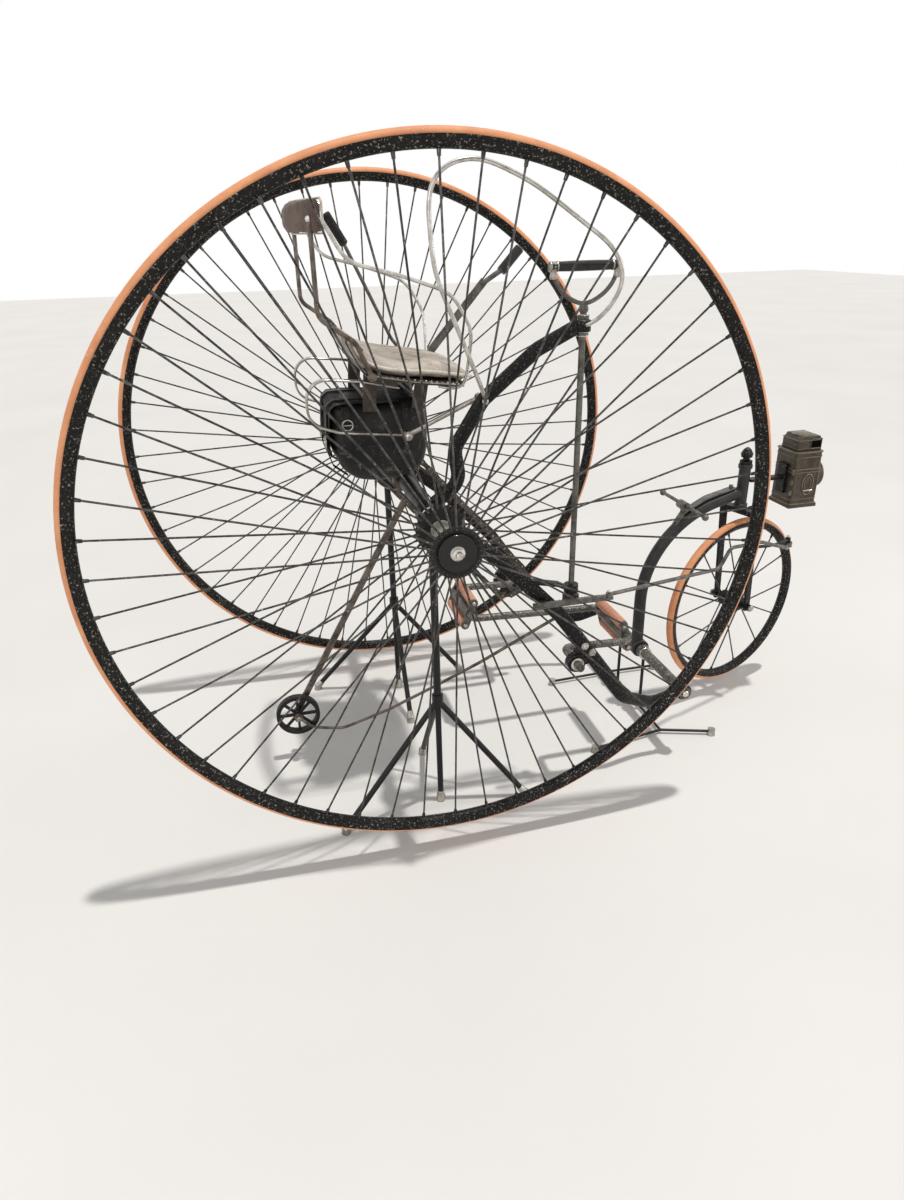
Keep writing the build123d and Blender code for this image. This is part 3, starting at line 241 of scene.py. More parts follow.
worn("lamp_trim", (0.2, 0.165, 0.115), (0.12, 0.095, 0.068), (0.34, 0.29, 0.22), 0.6, 0.6, (0.3, 0.5),
     patch=60)
worn("hub_nickel", (0.72, 0.69, 0.62), (0.5, 0.46, 0.4), (0.2, 0.17, 0.14), 0.62, 0.4, (0.25, 0.45),
     patch=40)
# Near-black, nearly matt and without shine: painted shade that stands for the dark inside of the lamp's vent
# openings
worn("vent_painted_shade", (0.002, 0.002, 0.002), (0.003, 0.003, 0.003), (0.02, 0.018, 0.016), 0.72, 0.0,
     (0.7, 0.9), shine=0.04)
worn("dull_steel", (0.17, 0.16, 0.145), (0.08, 0.073, 0.065), (0.36, 0.33, 0.28), 0.6, 0.7, (0.32, 0.55),
     patch=50, grain=300)
worn("gloss_black", (0.004, 0.004, 0.004), (0.006, 0.006, 0.006), (0.05, 0.045, 0.04), 0.7, 0.0,
     (0.12, 0.22), depth=0.00003, shine=0.4)

# Finishes that differ from a node's slot, as the photograph shows them
LOOKS = {
    "backbone": "grey_enamel", "cross_tube": "flaked_enamel", "backrest_rods": "brown_nickel",
    "tail_stays": "brown_nickel", "steering_column": "brown_nickel", "springs": "worn_nickel",
    "brake_lever": "dull_steel", "rear_lever": "dull_steel", "armrests": "bright_nickel",
    "dress_guard": "bright_nickel", "footrest": "dull_steel", "rack": "dull_steel",
    "steering_link": "dull_steel", "pedal_frame_right": "dull_steel", "pedal_frame_left": "dull_steel",
}
for entry in frame["record"]["subparts"]:
    node = frame["nodes"][entry["node"]]
    node.data.materials.clear()
    node.data.materials.append(MATERIALS[LOOKS.get(entry["node"], entry["material_slot"])])


# Mesh helpers
def piece(name, bm, slot, material=None, body="frame", replaces=(), sharp=38):
    """Makes a smooth-shaded piece with its sharp edges kept, which rides on a body and has a finish."""
    bmesh.ops.recalc_face_normals(bm, faces=bm.faces)
    limit = radians(sharp)
    for face in bm.faces:
        face.smooth = True
    for edge in bm.edges:
        edge.smooth = len(edge.link_faces) == 2 and edge.calc_face_angle(0) < limit
    mesh = bpy.data.meshes.new(name)
    bm.to_mesh(mesh)
    bm.free()
    obj = bpy.data.objects.new(name, mesh)
    bpy.context.collection.objects.link(obj)
    mesh.materials.append(MATERIALS[material or slot])
    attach(obj, body)
    if replaces:
        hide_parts(*replaces)
    return obj


def frame_of(direction):
    """Two unit vectors square to a direction."""
    direction = direction.normalized()
    guide = UP if abs(direction.z) < 0.9 else AHEAD
    side = direction.cross(guide).normalized()
    return side, direction.cross(side).normalized()


def around(count, shift=0.0):
    """The cosine and sine of each even step round a circle."""
    turns = [2 * pi * (n + shift) / count for n in range(count)]
    return [(cos(turn), sin(turn)) for turn in turns]


def join(bm, rings, closed=False):
    """Faces between neighbouring rings, where a ring may be a single point."""
    pairs = list(zip(rings, rings[1:]))
    if closed:
        pairs.append((rings[-1], rings[0]))
    for a, b in pairs:
        size = max(len(a), len(b))
        for n in range(size):
            m = (n + 1) % size
            corners = [a[n % len(a)], a[m % len(a)], b[m % len(b)], b[n % len(b)]]
            unique = [v for k, v in enumerate(corners) if v not in corners[:k]]
            if len(unique) > 2:
                bm.faces.new(unique)


def skin(bm, rings):
    """A closed form through rings, with a face on each end."""
    join(bm, rings)
    bm.faces.new(rings[0])
    bm.faces.new(rings[-1])


def lathe(bm, base, axis, profile, sides=48, closed=False):
    """A turned form: the profile's places are (radius, distance along the axis), in millimetres."""
    axis = axis.normalized()
    side, up = frame_of(axis)
    rings = []
    for radius, along in profile:
        middle = base + axis * (along / 1000)
        if radius < 1e-6:
            rings.append([bm.verts.new(middle)])
        else:
            rings.append([bm.verts.new(middle + (side * c + up * s) * (radius / 1000))
                          for c, s in around(sides)])
    join(bm, rings, closed)


def rod(bm, start, end, radius, sides=12, taper=1.0):
    """A straight round rod with closed ends."""
    length = (end - start).length * 1000
    lathe(bm, start, end - start, ((0, 0), (radius, 0), (radius * taper, length), (0, length)), sides)


def pin(bm, place, y_from, y_to, radius, sides=24):
    """A rod across Y at an (x, z) place."""
    rod(bm, spot_on(place, y_from), spot_on(place, y_to), radius, sides)


def rounded(points, bend, steps=10):
    """Straight runs with arcs of the given radius or radii, in millimetres, at their corners."""
    if not isinstance(bend, (list, tuple)):
        bend = [bend] * (len(points) - 2)
    path = [points[0]]
    for n in range(1, len(points) - 1):
        before = (points[n - 1] - points[n]).normalized()
        after = (points[n + 1] - points[n]).normalized()
        angle = before.angle(after)
        reach = bend[n - 1] / 1000 / tan(angle / 2)
        radius = bend[n - 1] / 1000
        start = points[n] + before * reach
        middle = points[n] + (before + after).normalized() * (radius / sin(angle / 2))
        a = start - middle
        b = points[n] + after * reach - middle
        swing = a.angle(b)
        if swing < 1e-4:
            path.append(points[n])
            continue
        for k in range(steps + 1):
            t = k / steps
            path.append(middle + (a * sin((1 - t) * swing) + b * sin(t * swing)) / sin(swing))
    path.append(points[-1])
    return path


def sweep(bm, path, section, closed=False):
    """A section of (sideways, upwards) places in millimetres, carried along a path without twist."""
    count = len(path)
    tangents = []
    for n in range(count):
        if closed:
            tangents.append((path[(n + 1) % count] - path[n - 1]).normalized())
        else:
            tangents.append((path[min(n + 1, count - 1)] - path[max(n - 1, 0)]).normalized())
    side, up = frame_of(tangents[0])
    rings = []
    for n in range(count):
        if n:
            turn = tangents[n - 1].rotation_difference(tangents[n])
            side, up = turn @ side, turn @ up
        rings.append([bm.verts.new(path[n] + side * (a / 1000) + up * (b / 1000)) for a, b in section])
    if closed:
        join(bm, rings, True)
    else:
        skin(bm, rings)


def oval(across, deep, sides=28):
    """A section with its first size along Y."""
    return [(across / 2 * c, deep / 2 * s) for c, s in around(sides)]


def strip(half, thick):
    return [(-half, -thick), (half, -thick), (half, thick), (-half, thick)]


def rounded_box(half_x, half_y, corner, steps=6):
    """Places round a rectangle with rounded corners, in millimetres."""
    places = []
    for n, (sx, sy) in enumerate(((1, 1), (-1, 1), (-1, -1), (1, -1))):
        x, y = sx * (half_x - corner), sy * (half_y - corner)
        for k in range(steps + 1):
            turn = pi / 2 * (n + k / steps)
            places.append((x + corner * cos(turn), y + corner * sin(turn)))
    return places


def tube(bm, path, radius, sides=14, closed=False):
    sweep(bm, path, oval(2 * radius, 2 * radius, sides), closed)


def hoop(bm, spot, one, two, thick, count=28):
    """A closed wire round an oval whose two half sizes are vectors in millimetres."""
    tube(bm, [spot + (one * c + two * s) / 1000 for c, s in around(count)], thick, 8, closed=True)


def hexagon(bm, base, axis, across, height):
    """A chamfered hexagon nut or bolt head."""
    half = across / 2
    lathe(bm, base, axis, ((0, 0), (half * 1.06, 0), (half * 1.15, height * 0.12),
                           (half * 1.15, height * 0.8), (half * 0.96, height), (0, height)), 6)


def dome(bm, base, axis, radius, height, sides=20):
    steps = 6
    profile = [(radius * cos(k * pi / 2 / steps), height * sin(k * pi / 2 / steps)) for k in range(steps)]
    lathe(bm, base, axis, [(0, 0)] + profile + [(0, height)], sides)


def ball(bm, middle, radius, sides=20):
    steps = 12
    profile = [(radius * sin(pi * k / steps), -radius * cos(pi * k / steps)) for k in range(steps + 1)]
    profile[0], profile[-1] = (0, -radius), (0, radius)
    lathe(bm, middle, ACROSS, profile, sides)


def ring(bm, middle, axis, low, high, outer, inner, sides=48, edge=0.8):
    """A bored boss from low to high along an axis, with eased outer edges."""
    lathe(bm, middle, axis, ((inner, low), (outer - edge, low), (outer, low + edge), (outer, high - edge),
                             (outer - edge, high), (inner, high)), sides, closed=True)


def plate(bm, outline, y_from, y_to):
    """A flat plate across Y from (x, z) places."""
    skin(bm, [[bm.verts.new(place) for place in flat(outline, y)] for y in (y_from, y_to)])


def soften(path, step=0.005, reach=4, rounds=3):
    """Evens a path's steps and eases its bends, keeping its ends."""
    lengths = [0]
    for a, b in zip(path, path[1:]):
        lengths.append(lengths[-1] + (b - a).length)
    count = max(8, int(lengths[-1] / step))
    even = []
    k = 0
    for n in range(count + 1):
        target = lengths[-1] * n / count
        while k < len(lengths) - 2 and lengths[k + 1] < target:
            k += 1
        share = (target - lengths[k]) / max(lengths[k + 1] - lengths[k], 1e-9)
        even.append(path[k].lerp(path[k + 1], min(1, share)))
    for turn in range(rounds):
        eased = []
        for n in range(len(even)):
            span = min(reach, n, len(even) - 1 - n)
            near = even[n - span:n + span + 1]
            eased.append(sum(near, Vector()) / len(near))
        even = eased
    return even


# Driving wheels: rubber tyre, hollow rim, flanges, spokes and hub
TYRE = 11
RIM_RADIUS = WHEEL_RADIUS - TYRE
RIM_HALF, RIM_DEPTH = 14, 19
SPOKES, SPOKE = 56, 1.9
FLANGE, FLANGE_BORE, GAUGE = 47, 19.4, 60
HUB = 18.9


def tyre(node, middle, axis, major, minor, body, segments):
    bm = bmesh.new()
    lathe(bm, middle, axis, [(major + minor * c, minor * s) for c, s in around(20)], segments, closed=True)
    piece(f"solid_{node}", bm, "tan_rubber", None, body, (node,))


def rim(bm, middle, axis, major, half, depth, seat, segments):
    """A hollow crescent rim with small rolled edges."""
    outer = [(major - depth * sin(pi * k / 16), half * cos(pi * k / 16)) for k in range(17)]
    inner = [(major - seat * sin(pi * k / 10), -seat * cos(pi * k / 10)) for k in range(11)]
    lathe(bm, middle, axis, outer + inner, segments, closed=True)


def spokes(bm, middle, axis, count, foot, gauge, tip, nipple, first=-1):
    """Spokes from two flanges, the first to the side given, each with a nipple and a nut."""
    forward = axis.cross(UP).normalized()
    for n, (c, s) in enumerate(around(count)):
        ray = forward * c + UP * s
        side = -first if n % 2 else first
        start = middle + ray * (foot / 1000) + axis * (side * gauge / 1000)
        end = middle + ray * (tip / 1000)
        run = (end - start).normalized()
        rod(bm, start, end, SPOKE, 8)
        rod(bm, end - run * 0.011, end, nipple, 10, 1.25)
        rod(bm, start, start + run * 0.009, nipple, 10, 0.85)


for hand, side in HANDS:
    middle = at(0, side * TRACK, 0)
    out = ACROSS * side
    wheel = f"wheel_{hand}"
    tyre(f"tyre_{hand}", middle, ACROSS, RIM_RADIUS, TYRE - 0.1, wheel, 220)
    bm = bmesh.new()
    rim(bm, middle, ACROSS, RIM_RADIUS, RIM_HALF, RIM_DEPTH, TYRE + 0.3, 220)
    piece(f"rim_{hand}", bm, "black_enamel", "rim_enamel", wheel, (wheel,))

    bm = bmesh.new()
    flange = ((FLANGE_BORE, 0), (FLANGE - 2, 0), (FLANGE, 1), (FLANGE, 4), (FLANGE - 2, 5), (FLANGE - 11, 5),
              (FLANGE - 12.5, 4), (FLANGE_BORE, 4))
    for face in (-1, 1):
        edge = face * (GAUGE - 2.5)
        profile = [(radius, edge + face * along) for radius, along in flange]
        lathe(bm, middle, ACROSS, profile, 96, closed=True)
        for c, s in around(SPOKES // 2, 0.5):
            spot = middle + (AHEAD * c + UP * s) * 0.0415 + ACROSS * ((edge + face * 4.8) / 1000)
            dome(bm, spot, ACROSS * face, 2.1, 1.3, 8)
    piece(f"hub_flanges_{hand}", bm, "black_enamel", "cast_dark", wheel)

    bm = bmesh.new()
    spokes(bm, middle, ACROSS, SPOKES, FLANGE - 6, GAUGE, RIM_RADIUS - RIM_DEPTH + 2, 3.0, side)
    piece(f"spokes_{hand}", bm, "black_enamel", "dark_spokes", wheel)

    bm = bmesh.new()
    barrel = ((0, 252), (13, 252), (13, 273.4), (22.2, 273.4), (23, 275), (22, 279), (19.4, 284),
              (HUB, 287), (HUB, 318), (17.6, 320), (17.6, 323), (HUB, 325),
              (HUB, TRACK + GAUGE - 8), (HUB, TRACK + GAUGE + 4), (0, TRACK + GAUGE + 4))
    lathe(bm, at(0, 0, 0), out, barrel, 56)
    piece(f"hub_barrel_{hand}", bm, "worn_nickel", "hub_nickel", wheel, (f"hub_{hand}",))
    bm = bmesh.new()
    dish = ((19.2, 63), (34.4, 63), (35, 64.4), (34.8, 66.4), (33.6, 67.8), (31.5, 68), (28.5, 67.4),
            (25, 66.3), (20, 65.5), (12, 65.3), (12, 63.4))
    lathe(bm, middle, out, dish, 72, closed=True)
    piece(f"hub_dish_{hand}", bm, "worn_nickel", "gloss_black", wheel)
    bm = bmesh.new()
    lathe(bm, middle, out, ((0, 64), (13.2, 64), (13.6, 65.6), (12.8, 66.8), (0, 66.8)), 40)
    hexagon(bm, middle + out * 0.0664, out, 19.2, 7.6)
    lathe(bm, middle, out, ((0, 73), (6.6, 73), (6.6, 76), (5.8, 78.4), (3.6, 79.6), (0, 80)), 28)
    piece(f"hub_nut_{hand}", bm, "worn_nickel", "bright_nickel", wheel)

# Steered wheel
FRONT_LOW, FRONT_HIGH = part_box("tyre_front")
FRONT = (FRONT_LOW + FRONT_HIGH) / 2
FRONT_RADIUS = (FRONT_HIGH.z - FRONT_LOW.z) * 500 - 10
FRONT_AHEAD = Vector((cos(STEER_REST), sin(STEER_REST), 0))
FRONT_AXIS = Vector((-sin(STEER_REST), cos(STEER_REST), 0))
tyre("tyre_front", FRONT, FRONT_AXIS, FRONT_RADIUS, 9.9, "front_wheel", 140)
bm = bmesh.new()
rim(bm, FRONT, FRONT_AXIS, FRONT_RADIUS, 12, 17, 10.3, 140)
piece("rim_front", bm, "black_enamel", "rim_enamel", "front_wheel", ("wheel_front",))
bm = bmesh.new()
half_hub = [(8.6, 8), (9.4, 18), (14, 21.5), (19, 23), (20, 24), (20, 27), (19.6, 28), (13, 28),
            (10, 28.4), (10, 38), (5.2, 38)]
profile = [(radius, -place) for radius, place in reversed(half_hub)] + half_hub
lathe(bm, FRONT, FRONT_AXIS, profile, 40, closed=True)
piece("hub_front", bm, "black_enamel", "cast_dark", "front_wheel")
bm = bmesh.new()
spokes(bm, FRONT, FRONT_AXIS, 14, 17, 25, FRONT_RADIUS - 14, 2.8)
piece("spokes_front", bm, "black_enamel", "dark_spokes", "front_wheel")
bm = bmesh.new()
for side in (-1, 1):
    hexagon(bm, FRONT + FRONT_AXIS * (side * 0.0612), FRONT_AXIS * side, 15, 7)
piece("fork_nuts", bm, "black_enamel", "worn_nickel", "fork")

# Side arms with their bosses and lugs
ARM = ((12, SIDE, -10), (141, SIDE, -111), (276, SIDE, -254), (440, SIDE, -487), (521, CROSS_Y, -529),
       (594, CROSS_Y, CROSS_Z))
for hand, side in HANDS:
    out = ACROSS * side
    bm = bmesh.new()
    sweep(bm, rounded(line(ARM, side), 60), oval(16, 32))
    ring(bm, at(0, 0, 0), out, SIDE - 15, SIDE + 15, 27, 13.5, 64, 2)
    ring(bm, at(CROSS_X, 0, CROSS_Z), out, CROSS_Y - 11, CROSS_Y + 11, 19, 13.3, 48, 1.6)
    ring(bm, at(CRANK.x, 0, CRANK.z), out, SIDE - 11, SIDE + 11, 21, 9.4, 48, 1.8)
    lug = [(CRANK.x + x, CRANK.z + z) for x, z in ((-12, 17), (14, 46), (47, -2), (19, -8), (8, 19))]
    plate(bm, lug, side * (SIDE - 6), side * (SIDE + 6))
    piece(f"side_arm_{hand}", bm, "black_enamel", replaces=(f"arm_{hand}",))

# Handle post on the right and brake post on the left
bm = bmesh.new()
post = flat(((8, 22), (60, 60), (50, 125), HANDLE_BOLT, (210, 296), (290, 334)), -SIDE)
sweep(bm, rounded(post, 38), oval(15, 28))
ring(bm, at(COLUMN_X, -SIDE, 0), UP, 323, 344, 15, 6.06, 40, 1.6)
pin(bm, HANDLE_BOLT, 16 - SIDE, -16 - SIDE, 7)
piece("curved_handle_post", bm, "black_enamel", replaces=("handle_post",))
bm = bmesh.new()
sweep(bm, rounded(flat(((8, 22), (44, 70), (52, 130), (84, 190)), SIDE), 30), oval(15, 28))
pin(bm, BRAKE_PIVOT, SIDE - 9, SIDE + 9, 15, 40)
pin(bm, BRAKE_BOLT, SIDE - 16, SIDE + 9, 7)
pin(bm, BRAKE_PIVOT, SIDE - 40, SIDE + 9, 6)
piece("curved_brake_post", bm, "black_enamel", replaces=("brake_post",))

# Backbone with the steering head
bm = bmesh.new()
tube(bm, rounded(flat(((601, -503), (600, -189), (847, -114)), 0), 255, 40), 15, 32)
ring(bm, at(CROSS_X, 0, CROSS_Z), ACROSS, -20, 20, 23, 13.3, 48, 2)
head = ((9.06, -152), (16, -152), (17, -151), (17, -143.4), (16, -142), (14, -141.4), (14, -53),
        (16, -52.4), (17, -51), (17, -43), (16, -42), (9.06, -42))
lathe(bm, at(HEAD_X, 0, 0), UP, head, 48, closed=True)
piece("backbone_tube", bm, "black_enamel", "grey_enamel", replaces=("backbone",))

# Crank: places are (share of the throw, y)
bm = bmesh.new()
crank_line = [at(CRANK.x + share * THROW_X, y, CRANK.z + share * THROW_Z) for share, y in (
    (0, -290), (0, -190), (1, -190), (1, 0), (-1, 0), (-1, 190), (0, 190), (0, 290))]
tube(bm, rounded(crank_line, 17, 10), 8.98, 28)
piece("bent_crank", bm, "worn_steel", "flaked_enamel", "crank", ("crank_shaft",))

# Dress guard, armrests and backrest rods
bm = bmesh.new()
GUARD_Y = TRACK - 59
guard = ((107, SIDE + 16.3, 212), (107, SIDE + 29, 212), (70, SIDE + 46, 295), (0, GUARD_Y, 439),
         (-8, GUARD_Y, 584), (75, GUARD_Y, 603), (168, GUARD_Y, 563), (316, GUARD_Y, 464),
         (339, GUARD_Y - 2, 412), (316, SIDE + 46, 350), (COLUMN_X, SIDE + 27, 336),
         (COLUMN_X, SIDE + 15.3, 336))
tube(bm, soften(rounded(line(guard, -1), [6, 60, 90, 50, 70, 80, 24, 24, 16, 8])), 3.9, 16)
piece("guard_hoop", bm, "worn_nickel", "bright_nickel", replaces=("dress_guard",))
bm = bmesh.new()
armrest = ((-160, 213, 522), (-122, 217, 452), (-30, 219, 428), (62, 219, 396), (102, 209, 330),
           (97, 174, 228), (84, 146, 214), (56, 122, 218.2))
for side in (-1, 1):
    tube(bm, soften(rounded(line(armrest, side), [30, 60, 40, 50, 14, 14]), 0.004, 4, 2), 3.45, 16)
piece("armrest_rods", bm, "worn_nickel", "bright_nickel", replaces=("armrests",))
bm = bmesh.new()
for side in (-1, 1):
    bent = flat((BACKREST_EYE, (-112, 316), (-176, 362), (-176, 520)), side * 192)
    tube(bm, rounded(bent, 28, 14), 4.5, 20)
    pin(bm, BACKREST_EYE, side * 185.5, side * 198, 8, 28)
    dome(bm, spot_on(BACKREST_EYE, side * 198), ACROSS * side, 6, 0.1)
piece("bent_backrest_rods", bm, "worn_nickel", "brown_nickel", replaces=("backrest_rods",))

# Steering column with its collars, pinion and spade loop
bm = bmesh.new()
COLUMN = at(COLUMN_X, -SIDE, 0)
rod(bm, at(COLUMN_X, -SIDE, -222), at(COLUMN_X, -SIDE, 374), 6, 28)
for low, high in ((316, 322.7), (344.3, 352)):
    collar = ((5.5, low), (10, low), (11, low + 1), (11, high - 1), (10, high), (5.5, high))
    lathe(bm, COLUMN, UP, collar, 36, closed=True)
teeth = []
for n in range(16):
    for radius, share in ((14, -0.5), (14, -0.2), (17.4, -0.14), (17.4, 0.14), (14, 0.2)):
        turn = 2 * pi * (n + share) / 16
        teeth.append((radius * cos(turn), radius * sin(turn)))
skin(bm, [[bm.verts.new(COLUMN + Vector((x, y, z)) / 1000) for x, y in teeth] for z in (-221, -207)])
loop = ((-60, 431), (-57, 412), (-42, 390), (-18, 375), (0, 370), (18, 375), (42, 390), (59, 412), (62, 431))
tube(bm, soften([at(COLUMN_X + x, -SIDE, z) for x, z in loop], 0.003, 3, 2), 4, 18)
lathe(bm, COLUMN, UP, ((0, 356), (7, 356), (9, 360), (8.4, 366), (5, 373), (0, 375)), 28)
piece("spade_column", bm, "worn_nickel", "dull_steel", "column", ("steering_column",))

# Seat springs and the rods that stay them
bm = bmesh.new()
leaf_section = rounded_box(8, 2.25, 1.8, 3)
for side in (-1, 1):
    leaf = flat(((-30, 225.3), (-100, 241.4), (-207, 252), (-207, 168), (-150, 148), (-22, 134)), side * 150)
    sweep(bm, rounded(leaf, [60, 38, 38, 40], 16), leaf_section)
    pin(bm, SPRING_EYE, side * 137, side * 168, 9, 28)
for side, bolt in ((-1, HANDLE_BOLT), (1, BRAKE_BOLT)):
    rod(bm, spot_on(SPRING_EYE, side * 158), spot_on(bolt, side * 232), 4.5, 20)
    pin(bm, bolt, side * 226, side * 241.7, 8, 28)
piece("leaf_springs", bm, "worn_nickel", replaces=("springs",))

# Pedals: ribbed rubber rolls with steel end washers and nuts
roll = [(4.4, 27.4), (10.4, 27.4), (11.8, 28.6)]
for k in range(9):
    start = 31 + k * 14.4
    roll += [(11.9, start), (11.9, start + 11), (10.9, start + 11.8), (10.9, start + 13.4)]
roll += [(11.8, 161.4), (10.4, 162.6), (4.4, 162.6)]
for hand, side, lean in (("right", -1, radians(-76)), ("left", 1, radians(-112))):
    out = ACROSS * side
    bm = bmesh.new()
    fittings = bmesh.new()
    for spread in (-30, 30):
        x = CRANK.x - side * THROW_X + spread * cos(lean)
        z = CRANK.z - side * THROW_Z + spread * sin(lean)
        lathe(bm, at(x, 0, z), out, roll, 28, closed=True)
        hexagon(fittings, at(x, side * 168, z), out, 9.5, 4.5)
        lathe(fittings, at(x, side * 22, z), -out, ((0, 0), (6, 0), (6, 1), (4.5, 3), (0, 3.4)), 20)
    piece(f"pedal_rolls_{hand}", bm, "red_rubber", None, f"pedal_{hand}", (f"pedal_rubbers_{hand}",))
    piece(f"pedal_nuts_{hand}", fittings, "worn_steel", "worn_nickel", f"pedal_{hand}")

# Chain: a rivet at both ends of every pin
CHAIN_Y, PITCH, RUN, TEETH = 225, 25.8, 19, 12
ALONG = CRANK.normalized()
OUTWARD = Vector((-ALONG.z, 0, ALONG.x))
PITCH_RADIUS = PITCH / (2 * sin(pi / TEETH))
pins = []
for n in range(RUN):
    pins.append(OUTWARD * PITCH_RADIUS + ALONG * (n * PITCH))
    pins.append(OUTWARD * -PITCH_RADIUS + ALONG * ((RUN - n) * PITCH))
for n in range(TEETH // 2):
    swing = pi * n / (TEETH / 2)
    reach = OUTWARD * cos(swing) + ALONG * sin(swing)
    pins.append(ALONG * (RUN * PITCH) + reach * PITCH_RADIUS)
    pins.append(reach * -PITCH_RADIUS)
bm = bmesh.new()
for place in pins:
    for side in (-1, 1):
        dome(bm, at(place.x, CHAIN_Y + side * 5.9, place.z), ACROSS * side, 2.6, 1.4, 10)
piece("chain_rivets", bm, "chain_steel", "worn_steel")

# Differential: bolts on both faces of its two flanges
bm = bmesh.new()
for start, side in ((137, -1), (143, 1), (199, -1), (205, 1)):
    for c, s in around(8):
        hexagon(bm, at(43 * c, start - side * 0.2, 43 * s), ACROSS * side, 5, 2.6)
piece("differential_bolts", bm, "cast_dark", "worn_steel", "differential")

# Nuts, bolts, collars and ball joints of the frame
bm = bmesh.new()
for side in (-1, 1):
    out = ACROSS * side
    for x, z in ((334, -334), (352, -352)):
        lathe(bm, at(x, side * (SIDE + 7.6), z), out, ((0, 0), (8.6, 0), (8.6, 1.6), (0, 1.6)), 24)
        hexagon(bm, at(x, side * (SIDE + 9), z), out, 11.5, 5.5)
    lathe(bm, at(CRANK.x, side * (SIDE + 11), CRANK.z), out,
          ((9.4, 0), (15, 0), (15, 2.4), (12, 3.4), (9.4, 3.4)), 32, closed=True)
    lathe(bm, at(CROSS_X, side * (CROSS_Y + 15.2), CROSS_Z), out,
          ((0, 0), (8, 0), (8, 2), (6, 4.5), (0, 5)), 24)
    lathe(bm, at(0, side * (SIDE - 15), 0), -out,
          ((14, 0), (19, 0), (19, 3), (16, 4), (14, 4)), 32, closed=True)
    ball(bm, spot_on(SPRING_EYE, side * 158), 10.2)
    lathe(bm, spot_on(SPRING_EYE, side * 167.8), out, ((0, 0), (5, 0), (5, 3), (3, 4.4), (0, 4.6)), 16)
    for y in (-37, 98):
        lathe(bm, at(CROSS_X, y + side * 9, CROSS_Z), out,
              ((13.2, 0), (17.2, 0), (16.4, 1.6), (13.2, 1.8)), 32, closed=True)
dome(bm, spot_on(HANDLE_BOLT, -SIDE - 15.4), -ACROSS, 6.4, 5)
dome(bm, spot_on(BRAKE_PIVOT, SIDE + 8.8), ACROSS, 9, 6)
piece("frame_bolts", bm, "worn_nickel", "bright_nickel")

# Nuts on the steering link's two pins
bm = bmesh.new()
PIN = at(HEAD_X, 0, -271) + FRONT_AHEAD * 0.165 - FRONT_AXIS * 0.034
hexagon(bm, PIN - UP * 0.0158, -UP, 9, 4.5)
hexagon(bm, PIN + UP * 0.0138, UP, 9, 4)
piece("steering_pin_nuts", bm, "black_enamel", "bright_nickel", "fork")
bm = bmesh.new()
hexagon(bm, at(376, -280.5, -203.2), UP, 8, 4)
piece("rack_pin_nut", bm, "worn_nickel", "bright_nickel", "rack")

# Spade handle: a black grip with bright ferrules
bm = bmesh.new()
grip = ((0, -66), (5.5, -66), (7.8, -64.6), (8.6, -62), (8.2, -55), (8.6, -40), (9, -20), (9, 20),
        (8.6, 42), (8.2, 57), (8.6, 64), (7.8, 66.6), (5.5, 68), (0, 68))
lathe(bm, at(COLUMN_X, -SIDE, GRIP_Z), AHEAD, grip, 36)
piece("handle_barrel", bm, "black_grip", None, "column", ("handle_grip",))
bm = bmesh.new()
stub = ((0, 413.6), (5.4, 413.6), (6.6, 415), (7, 418), (6.2, 424), (7.4, 430), (8.8, 435), (7, 441),
        (3, 443.4), (0, 443.8))
for x in (-60, 62):
    lathe(bm, at(COLUMN_X + x, -SIDE, 0), UP, stub, 24)
for x in (-66.2, -54, 52, 66.4):
    lathe(bm, at(COLUMN_X + x, -SIDE, GRIP_Z), AHEAD,
          ((7, -1.4), (8.9, -1.4), (9.3, 0), (8.9, 1.4), (7, 1.4)), 36, closed=True)
piece("handle_ferrules", bm, "black_grip", "worn_nickel", "column")
bm = bmesh.new()
for z, radius in ((352.4, 11.6), (343, 11.4), (323, 11.6), (316, 11.2), (366, 8)):
    bead = ((radius - 5.2, -1.2), (radius - 0.6, -1.2), (radius, 0), (radius - 0.6, 1.2),
            (radius - 5.2, 1.2))
    lathe(bm, at(COLUMN_X, -SIDE, z), UP, bead, 32, closed=True)
piece("column_rings", bm, "worn_nickel", "bright_nickel", "column")

# Ribbed grips of the two hand levers: name, material, ends, profile of the foot, number of ribs,
# a rib's crest, groove and width, profile of the tip beyond the end, and sides
LEVER_Y = 238
GRIPS = (
    ("brake_lever_grip", "black_grip", ((296, LEVER_Y, 406), (342, LEVER_Y, 455)),
     ((0, -0.6), (9, -0.6), (10.6, 1)), 9, (11.6, 11.25, 3.2), ((10.4, 0.3), (7, 2), (0, 2.6)), 32),
    ("rear_lever_grip", "cast_dark", ((-70, LEVER_Y - 32, 474), (-106, LEVER_Y - 36, 534)),
     ((0, -2), (6, -2), (9.3, 1)), 13, (9.9, 9.4, 2.4), ((9.2, 0), (6, 1.6), (0, 2)), 28),
)
for name, material, ends, foot, ribs, (crest, groove, width), tip, sides in GRIPS:
    start, end = line(ends, 1)
    length = (end - start).length * 1000
    profile = list(foot)
    for k in range(ribs):
        place = 3 + k * (length - 8) / (ribs - 1)
        profile += [(crest, place), (groove, place + width)]
    profile += [(radius, length + beyond) for radius, beyond in tip]
    bm = bmesh.new()
    lathe(bm, start, end - start, profile, sides)
    piece(name, bm, "worn_nickel", material)

